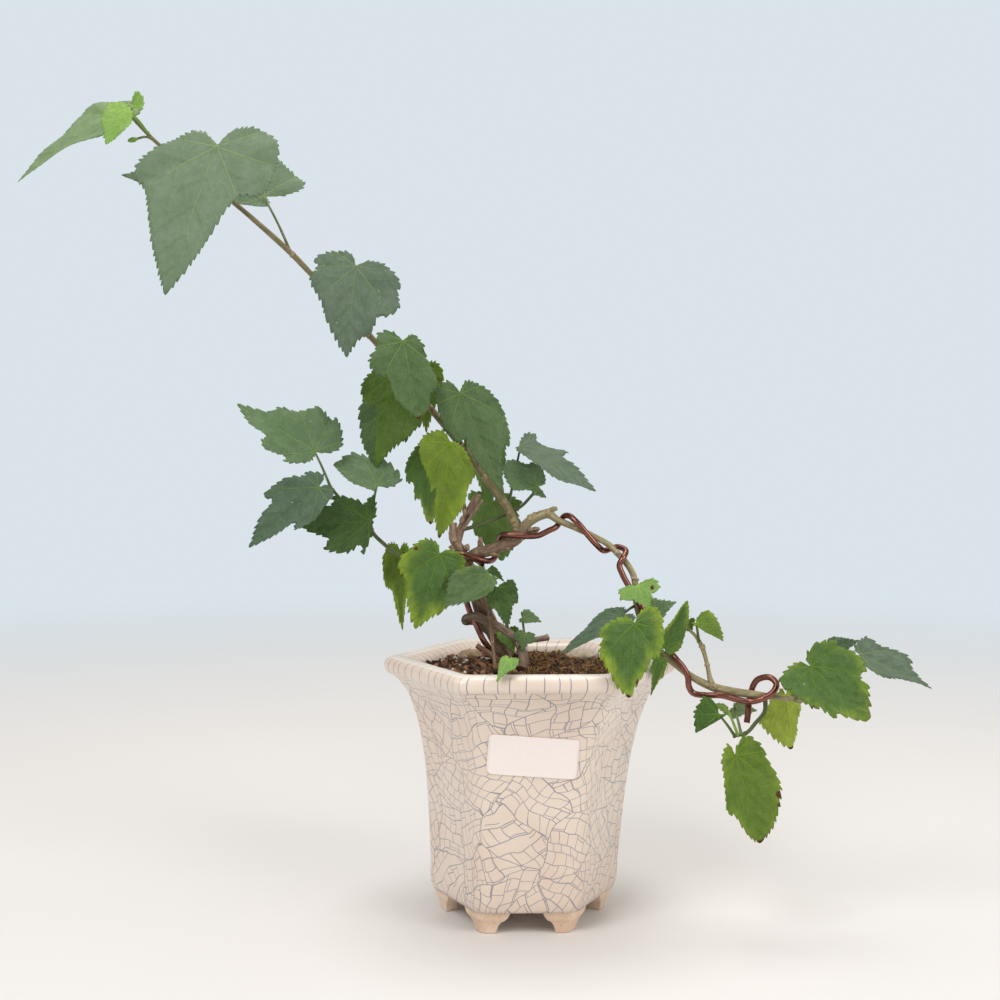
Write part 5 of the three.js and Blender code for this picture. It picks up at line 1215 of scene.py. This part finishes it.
def wood():
    bark = wood_finish("rough_bark", (46, 33, 25), (120, 98, 80), (176, 152, 126), 0.85, 1.0, 0.5)
    root = wood_finish("smooth_root", (70, 56, 46), (124, 106, 90), (166, 148, 128), 0.8, 0.8, 0.3)
    young = wood_finish(
        "young_bark", (78, 66, 44), (116, 106, 72), (150, 140, 100), 0.65, 0.8, 0.25,
        upper=((84, 104, 52), (104, 130, 66)),
    )
    olive = wood_finish("olive_bark", (86, 76, 54), (132, 122, 88), (172, 162, 124), 0.7, 0.8, 0.25)
    green = wood_finish("green_bark", (54, 58, 38), (78, 88, 54), (104, 118, 72), 0.65, 0.8, 0.2)
    pink = wood_finish("pink_bark", (92, 66, 54), (140, 104, 86), (176, 142, 120), 0.75, 0.8, 0.3)

    trunk = Build()
    for n, path in enumerate(TRUNK):
        tube(trunk, path, 22, 0.8, 0.2, 0.05 - 0.04 * n, n + 1, (1,))
    tube(trunk, LOOP_ROOT, 18, 0.8, 0.12, 0.02, 8, (1,), 1)
    for n, path in enumerate(LIMBS):
        tube(trunk, path, 18, 0.8, 0.14, 0.03, n + 11, (1,), 1 if n > 5 else 0)
    tube(trunk, THIN_TWIG, 12, 1.0, 0.08, 0, 31, (1,), 2)
    buds(trunk, TRUNK_BUDS)
    trunk.piece("trunk_bark", "bark", [bark, root, green], "trunk")

    leader = Build()
    tube(leader, LEADER, 16, 1.2, 0.05, 0.01, 41, (1,))
    buds(leader, LEADER_BUDS)
    leader.piece("leader_stem", "green_bark", [young], "leader")

    cascade = Build()
    tube(cascade, CASCADE, 18, 1.0, 0.06, 0.02, 51, (1,))
    tube(cascade, CASCADE_STUB, 14, 0.8, 0.1, 0, 52, (1,))
    tube(cascade, RISING_TWIG, 12, 1.0, 0.1, 0, 53, (1,))
    tube(cascade, HANGING_TWIG, 12, 1.0, 0.06, 0, 54, (1,), 1)
    buds(cascade, CASCADE_BUDS)
    cascade.piece("cascade_branch", "olive_bark", [olive, green], "cascade")

    twig = Build()
    tube(twig, LEFT_TWIG, 12, 1.0, 0.06, 0, 61, (1,))
    tube(twig, LEFT_FORK, 12, 1.0, 0.05, 0, 62, (1,))
    buds(twig, TWIG_BUDS)
    twig.piece("left_twig_stems", "green_bark", [green], "left_twig")

    stick = Build()
    tube(stick, STICK, 12, 0.8, 0.1, 0, 71, (0,))
    buds(stick, [[(-18.2, -10.8, 149.6), (1.2, 1.1, 1.2)], [(-16.6, -10.6, 137), (1, 1, 1)]])
    stick.piece("stick_bark", "bark", [bark], "stick")

    stub = Build()
    tube(stub, CUT_TWIG, 16, 0.8, 0.1, 0.02, 81, (0,))
    stub.piece("cut_twig_bark", "bark", [pink], "cut_twig")


def wires():
    copper = wire_finish()
    for name, route in (("training_wire", WIRE_ROUTE), ("wire_end", WIRE_END)):
        build = Build()
        tube(build, [[*point, WIRE_RADIUS] for point in route], 18, 0.8, 0, 0, 91, (1,))
        build.piece(f"{name}_copper", "wire", [copper], name)


# Leaves


def half_outline(shape):
    """Half of a blade's outline as [along, across], for a blade one long and one wide."""
    lobed, oval = max(shape, 0), max(-shape, 0)
    return np.array([
        [-0.02, 0.012], [-0.07, 0.09], [-0.09, 0.22], [-0.07, 0.36], [0.04, 0.48], [0.19, 0.5],
        [0.39 + 0.05 * lobed, 0.4 + 0.1 * lobed + 0.09 * oval], [0.49, 0.335 - 0.1 * lobed + 0.12 * oval],
        [0.62, 0.25 - 0.06 * lobed + 0.16 * oval], [0.8, 0.125 - 0.02 * lobed + 0.15 * oval],
        [0.92, 0.045 + 0.08 * oval], [1, 0.004],
    ])


def spline(points, steps):
    """The smooth curve through flat points, as three.js draws it."""
    padded = np.concatenate([points[:1], points, points[-1:]])
    t = (np.arange(steps) / steps)[:, None]
    curve = []
    for a, b, c, d in zip(padded, padded[1:], padded[2:], padded[3:]):
        curve.append(between(b, c, (c - a) / 2, (d - b) / 2, t))
    return np.concatenate([*curve, points[-1:]])


TOOTH_STEPS = np.array([0, 0.3, 0.6, 0.8, 0.92])  # places along a tooth, and how far out each stands
TOOTH_RISE = [-0.4, 0.1, 0.62, 0.8, 0.35]
MARGIN_STEPS = 40  # steps of the smooth margin between two of its points


def half_margin(name, side, shape, length, width):
    """Half of a leaf's outline from its own points where it has them, or else the general one."""
    if name not in MARGINS:
        return half_outline(shape)
    turns, reach = np.array(MARGINS[name][side], float).T
    turns = np.radians(turns)
    own = np.stack([reach * np.cos(turns) / length, reach * np.sin(turns) / (2 * width)], 1)
    return np.concatenate([[[-0.02, 0.004]], own, [[1, 0.004]]])


def margin(half, teeth, size, draw):
    """Half a margin from the stalk to the tip: plain points, and the same points cut into uneven teeth."""
    curve = spline(half, MARGIN_STEPS)
    run = np.concatenate([[0], np.cumsum(np.linalg.norm(np.diff(curve, axis=0), axis=1))])
    widths = np.array([draw.uniform(0.6, 1.4) for _ in range(teeth)])
    marks = np.concatenate([[0], np.cumsum(widths)]) / widths.sum()
    t = np.concatenate([
        np.concatenate([low + (high - low) * TOOTH_STEPS for low, high in zip(marks, marks[1:])]),
        [1],
    ])
    plain = np.stack([np.interp(t * run[-1], run, curve[:, axis]) for axis in (0, 1)], 1)
    way = unit(np.gradient(plain, axis=0))
    out = np.stack([-way[:, 1], way[:, 0]], 1)
    heights = np.array([draw.uniform(0.55, 1.35) for _ in range(teeth)]).repeat(len(TOOTH_RISE))
    rise = np.tile(TOOTH_RISE, teeth) * heights
    ease = np.clip(t[:-1] / 0.08, 0, 1) * np.clip((1 - t[:-1]) / 0.04, 0, 1)
    rise = np.append(rise * ease, 0)[:, None] * size
    return plain, plain + out * rise + way * rise * 0.5


# Heights of a blade's slow wave, its ripples and the pleats between its main veins, as shares of its length.
SWAY = 0.035
RIPPLE = 0.006
PLEAT = 0.022
VEIN_BEND = 0.55  # how much the side veins spread on their way to the tip


class Blade:
    """Where a blade lies: folded along the middle, drooping along its length, rippled at its edge."""

    def __init__(self, base, tip, face, widths, fold, droop, draw):
        self.start = np.array(base, float)
        chord = np.array(tip) - self.start
        self.bend = math.radians(droop)
        self.length = np.linalg.norm(chord) / (2 * math.sin(self.bend / 2) / self.bend)
        ahead = unit(chord)
        up = unit(np.array(face, float) - ahead * np.dot(face, ahead))
        half = self.bend / 2
        self.forward = ahead * math.cos(half) + up * math.sin(half)
        self.normal = up * math.cos(half) - ahead * math.sin(half)
        self.across = np.cross(self.normal, self.forward)
        self.widths = widths
        self.wing = math.radians(fold)
        self.waves = [(draw.uniform(3, 9), draw.uniform(3, 9), draw.uniform(0, 6.28)) for _ in range(3)]

    def place(self, u, v, side):
        turn = self.bend * np.maximum(u, 0)
        widths = np.where(side, self.widths[1], self.widths[0])
        out = 2 * v * widths
        lift = SWAY * self.length * np.sin(9 * u + 2 * side) * (2 * v) ** 2
        signed = np.where(side, v, -v)
        for a, b, phase in self.waves:
            lift = lift + RIPPLE * self.length * np.sin(a * u + b * 2 * signed + phase) * np.minimum(8 * v, 1)
        turns = np.arctan2(out, np.maximum(u, -1) * self.length)
        reach = np.hypot(out, u * self.length) / self.length
        rise = np.clip(reach * 3, 0, 1)
        pleat = np.abs(np.sin(math.pi * turns / VEIN_TURN)) * rise * np.clip(2.2 - 2 * reach, 0, 1)
        lift = lift + PLEAT * self.length * (pleat - 0.5) * rise
        lift = lift + out * math.sin(self.wing) * out / (out + 2)
        along = np.where(u < 0, self.length * u, self.length * np.sin(turn) / self.bend)
        down = self.length * (1 - np.cos(turn)) / self.bend
        return (
            self.start + self.forward * (along + lift * np.sin(turn))[:, None]
            + self.normal * (lift * np.cos(turn) - down)[:, None]
            + self.across * (np.where(side, 1, -1) * out * math.cos(self.wing))[:, None]
        )

    def veins(self, u, v, side):
        """The places on the flat blade in millimetres, side veins curved to the tip, and its length."""
        y = np.where(side, 2 * v * self.widths[1], -2 * v * self.widths[0])
        spread = 1 + VEIN_BEND * np.maximum(u, 0)
        return np.stack([u * self.length, y * spread, np.full(len(u), self.length)], 1)


def share_inside(outline, u, v):
    """How far out towards half a margin each flat point lies: 0 at the stalk, 1 at the margin."""
    turns = np.arctan2(outline[:, 1], outline[:, 0])
    reach = np.hypot(outline[:, 0], outline[:, 1])
    shares = []
    for a, b in zip(u, v):
        near = np.abs(turns - math.atan2(b, a)) < 0.12
        shares.append(math.hypot(a, b) / (reach[near].min() if near.any() else reach.min()))
    return np.array(shares)


BIG_LEAF = 26  # leaves longer than this have larger teeth
RIBBED = 20  # leaves longer than this have ribs under them
# Ribs under a blade: how many vein turns from the midrib, and how far out of the blade's length.
RIBS = ((0, 0.9), (1, 0.62), (-1, 0.62), (2, 0.4), (-2, 0.4))
RIB_STEPS = 12
RIB_END = 0.88  # ribs stop at this share of the way to the margin
EDGE_BAND = 0.28  # the yellow edge fades out over this share of the blade's length
STALK = (0.8, 0.62, 0.55)  # radii of a stalk at the wood, half way and at the blade
RINGS = (0.07, 0.19, 0.32, 0.45, 0.57, 0.68, 0.78, 0.87, 0.945, 1)
SKIN = 0.13  # half the thickness of a blade
LEAF_FINISHES = {}


def leaf_finishes(colour):
    if colour not in LEAF_FINISHES:
        LEAF_FINISHES[colour] = [
            leaf_finish(f"leaf_{colour}_upper", TONES[colour], False),
            leaf_finish(f"leaf_{colour}_under", TONES[colour], True),
        ]
    return LEAF_FINISHES[colour]


def leaf(row, number, stalks, node=None, slot="leaf"):
    name, start, base, tip, face, widths, shapes, fold, droop = row
    colour, depth, yellow, brown, speck = LOOKS[name]
    draw = random.Random(number * 17 + 5)
    blade = Blade(base, tip, face, widths, fold, droop, draw)
    pitch, tooth = (3.4, 1.1) if blade.length > BIG_LEAF else (2.4, 0.65)
    halves = []
    for side in (1, 0):
        teeth = max(round(1.5 * blade.length / pitch), 6)
        half = half_margin(name, side, shapes[side], blade.length, widths[side])
        halves.append(margin(half, teeth, tooth / blade.length, draw))
    (right, right_cut), (left, left_cut) = halves
    plain = np.concatenate([right, left[-2::-1]])
    cut = np.concatenate([right_cut, left_cut[-2::-1]])
    side = np.concatenate([np.ones(len(right)), np.zeros(len(left) - 1)]).astype(bool)
    size = len(plain)
    u, v, sides, edges = [np.zeros(1)], [np.zeros(1)], [np.zeros(1, bool)], [np.zeros(1)]
    for share in RINGS:
        ring = cut if share == 1 else plain * share
        u.append(ring[:, 0])
        v.append(np.maximum(ring[:, 1], 0))
        sides.append(side)
        distance = (1 - share) * np.linalg.norm(plain * [1, 2 * np.mean(widths) / blade.length], axis=1)
        edges.append(np.clip(1 - distance / EDGE_BAND, 0, 1))
    u, v, sides, edges = (np.concatenate(part) for part in (u, v, sides, edges))
    points = blade.place(u, v, sides)
    index = 1 + np.arange(len(RINGS) * size).reshape(len(RINGS), size)
    after = np.roll(index, -1, axis=1)
    faces = np.stack([index[:-1], index[1:], after[1:], after[:-1]], -1).reshape(-1, 4)
    fan = [(0, int(a), int(b)) for a, b in zip(index[0], after[0])]
    normals = np.zeros_like(points)
    corners = points[faces]
    face_normals = np.cross(corners[:, 2] - corners[:, 0], corners[:, 3] - corners[:, 1])
    for k in range(4):
        np.add.at(normals, faces[:, k], face_normals)
    normals[0] = normals[1:1 + size].sum(0)
    normals = unit(normals)
    thin = SKIN * np.where(edges >= 1, 0.6, 1)[:, None]
    flat = blade.veins(u, v, sides)
    signed = np.where(sides, v * widths[1], -v * widths[0]) * 2
    burn = np.clip((u - 0.9) / 0.1, 0, 1) * brown
    for along, across, reach in BURNS.get(name, ()):
        away = np.hypot(u * blade.length - along, signed - across)
        burn = np.maximum(burn, np.clip(1.2 - away / reach * 0.75, 0, 1))
    old = yellow * (0.85 * edges + 0.2 * np.clip(u, 0, 1))
    age = np.stack([old, burn, np.full(len(u), speck)], 1)
    # The depth, partly painted shade for leaves in shadow, goes into the shade layer.
    shade = np.full((len(u), 1), depth + draw.uniform(-0.08, 0.08))
    build = Build()
    build.add(points + normals * thin, [*faces.tolist(), *fan], 0, flat=flat, age=age, shade=shade)
    back = [face[::-1] for face in [*faces.tolist(), *fan]]
    build.add(points - normals * thin, back, 1, flat=flat, age=age, shade=shade)
    outer = index[-1]
    count = len(points)
    rim = [(int(b), int(a), int(a) + count, int(b) + count) for a, b in zip(outer, np.roll(outer, -1))]
    build.faces += rim
    build.picks += [1] * len(rim)

    # The stalk runs from the wood to the blade and on under it as ribs that thin out.
    a, b = np.array(start, float), np.array(base, float)
    reach = np.linalg.norm(b - a)
    bow = [*(a + (b - a) * 0.5 + [0, 0, 0.03 * reach]), STALK[1]]
    tube(build, [[*a, STALK[0]], bow, [*b, STALK[2]]], 9, 1.4, 0, 0, number, (), 2)
    lump(build, a, (1.1, 1.1, 1.2), number, 0.3, 2, 2)
    if blade.length > RIBBED:
        for turn, share in RIBS:
            steps = np.linspace(0.0, share, RIB_STEPS)
            angle = abs(turn) * VEIN_TURN
            along = steps * math.cos(angle)
            warped = steps * math.sin(angle) / (1 + VEIN_BEND * np.maximum(along, 0))
            hand = turn > 0
            half = warped * blade.length / (2 * (widths[1] if hand else widths[0]))
            inside = share_inside(right if hand else left, along, half)
            last = np.argmin(inside < RIB_END) - 1 if (inside >= RIB_END).any() else RIB_STEPS - 1
            keep = np.arange(RIB_STEPS) <= max(last, 2)
            along, half = along[keep], half[keep]
            rib = blade.place(along, half, np.full(len(along), hand))
            below = rib - blade.normal * (SKIN + 0.06)
            radii = np.linspace(0.42 if turn == 0 else 0.3, 0.06, len(along))
            tube(build, [[*p, r] for p, r in zip(below, radii)], 6, 5, 0, 0, number, (), 2)
    finishes = [*leaf_finishes(colour), stalks[colour]]
    build.piece(f"foliage_{name}", slot, finishes, node or f"leaf_{name}", layers=("flat", "age", "shade"))


def young_growth(stalks):
    """The flower bud on its stalk and the folded young leaf at the end of the leader."""
    flower = Build()
    tube(flower, FLOWER_STALK, 10, 0.8, 0, 0, 1, ())
    tube(flower, FLOWER_BUD, 12, 0.3, 0.06, 0, 2, (), 1)
    flower.piece("flower_bud_green", "green_bark", [stalks["grey"], stalks["lime"]], "leader", layers=())
    tip = Build()
    tube(tip, LEAF_BUD[:3], 10, 0.6, 0, 0, 3, ())
    tip.piece("young_leaf_stalk", "green_bark", [stalks["lime"]], "leader", layers=())
    leaf(YOUNG_LEAF, len(LEAVES), stalks, "leader", "green_bark")


def leaves():
    stalks = {}
    for colour, face in TONES.items():
        stalks[colour] = stem_finish(f"stalk_{colour}", *(np.add(face, change) for change in STALK_SHADES))
    for number, row in enumerate(LEAVES):
        leaf(row, number, stalks)
    young_growth(stalks)


# Floor, light and camera


FLOOR_COLOUR = (0.8, 0.79, 0.78, 1)
ROOM_COLOUR = (0.7, 0.77, 0.82, 1)
FLOOR_RADIUS = 16
FLOOR_FADE = (0.25, 1.6)  # metres from the pot's place between which the floor turns into the room's colour


def floor():
    """A plain pale floor that turns into the room's plain colour far away, so that no edge shows."""
    shape = bmesh.new()
    bmesh.ops.create_circle(shape, cap_ends=True, segments=96, radius=FLOOR_RADIUS)
    mesh = bpy.data.meshes.new("floor")
    shape.to_mesh(mesh)
    shape.free()
    thing = bpy.data.objects.new("floor", mesh)
    bpy.context.collection.objects.link(thing)
    finish = Finish("pale_floor", Roughness=0.85)
    finish.shader.inputs["Base Color"].default_value = FLOOR_COLOUR
    away = finish.node("VectorMath", {0: finish.place()}, operation="LENGTH").outputs["Value"]
    glow = finish.node("Emission")
    glow.inputs["Color"].default_value = ROOM_COLOUR
    fade = finish.step(away, *FLOOR_FADE)
    blend = finish.node("MixShader", {0: fade, 1: finish.shader.outputs[0], 2: glow.outputs[0]})
    output = finish.tree.nodes["Material Output"]
    finish.tree.links.new(blend.outputs[0], output.inputs["Surface"])
    mesh.materials.append(finish.material)


ROOM_LIGHT = (0.42, 0.40, 0.38, 1)
# Round lamps: place from the middle of the plant in metres, size, power and colour.
LAMPS = (
    ("key", (-0.9, -1.3, 1.5), 1.1, 20, (1, 0.985, 0.985)),
    ("fill", (1.3, -1.0, 0.9), 1.1, 12, (1, 0.97, 0.93)),
    ("top", (0.1, 0.3, 1.9), 1.2, 17, (1, 0.98, 0.95)),
)


def light():
    world = bpy.data.worlds.new("studio")
    world.use_nodes = True
    bpy.context.scene.world = world
    tree = world.node_tree
    background = tree.nodes["Background"]
    seen = tree.nodes.new("ShaderNodeLightPath")
    room = tree.nodes.new("ShaderNodeMix")
    room.data_type = "RGBA"
    room.inputs[6].default_value = ROOM_LIGHT
    tree.links.new(seen.outputs["Is Camera Ray"], room.inputs[0])
    room.inputs[7].default_value = ROOM_COLOUR
    tree.links.new(room.outputs[2], background.inputs["Color"])
    low, high = solid_box
    middle = (low + high) / 2
    for name, at, size, power, colour in LAMPS:
        lamp = bpy.data.lights.new(name, "AREA")
        lamp.shape = "DISK"
        lamp.size = size
        lamp.energy = power
        lamp.color = colour
        holder = bpy.data.objects.new(name, lamp)
        bpy.context.collection.objects.link(holder)
        holder.location = middle + Vector(at)
        holder.rotation_euler = (-Vector(at)).to_track_quat("-Z", "Y").to_euler()


def camera():
    bpy.context.scene.view_settings.view_transform = "Standard"
    lens = bpy.data.cameras.new("photograph")
    lens.lens = CAMERA_LENS
    lens.sensor_width = CAMERA_SENSOR
    lens.shift_y = CAMERA_SHIFT
    lens.clip_start = 0.01
    holder = bpy.data.objects.new("photograph", lens)
    bpy.context.collection.objects.link(holder)
    holder.location = pin(*CAMERA_AT)
    holder.rotation_euler = (math.pi / 2, 0, 0)
    bpy.context.scene.camera = holder


camera()
light()
floor()
wall = pot()
feet()
label(wall)
soil()
stones()
wood()
wires()
leaves()
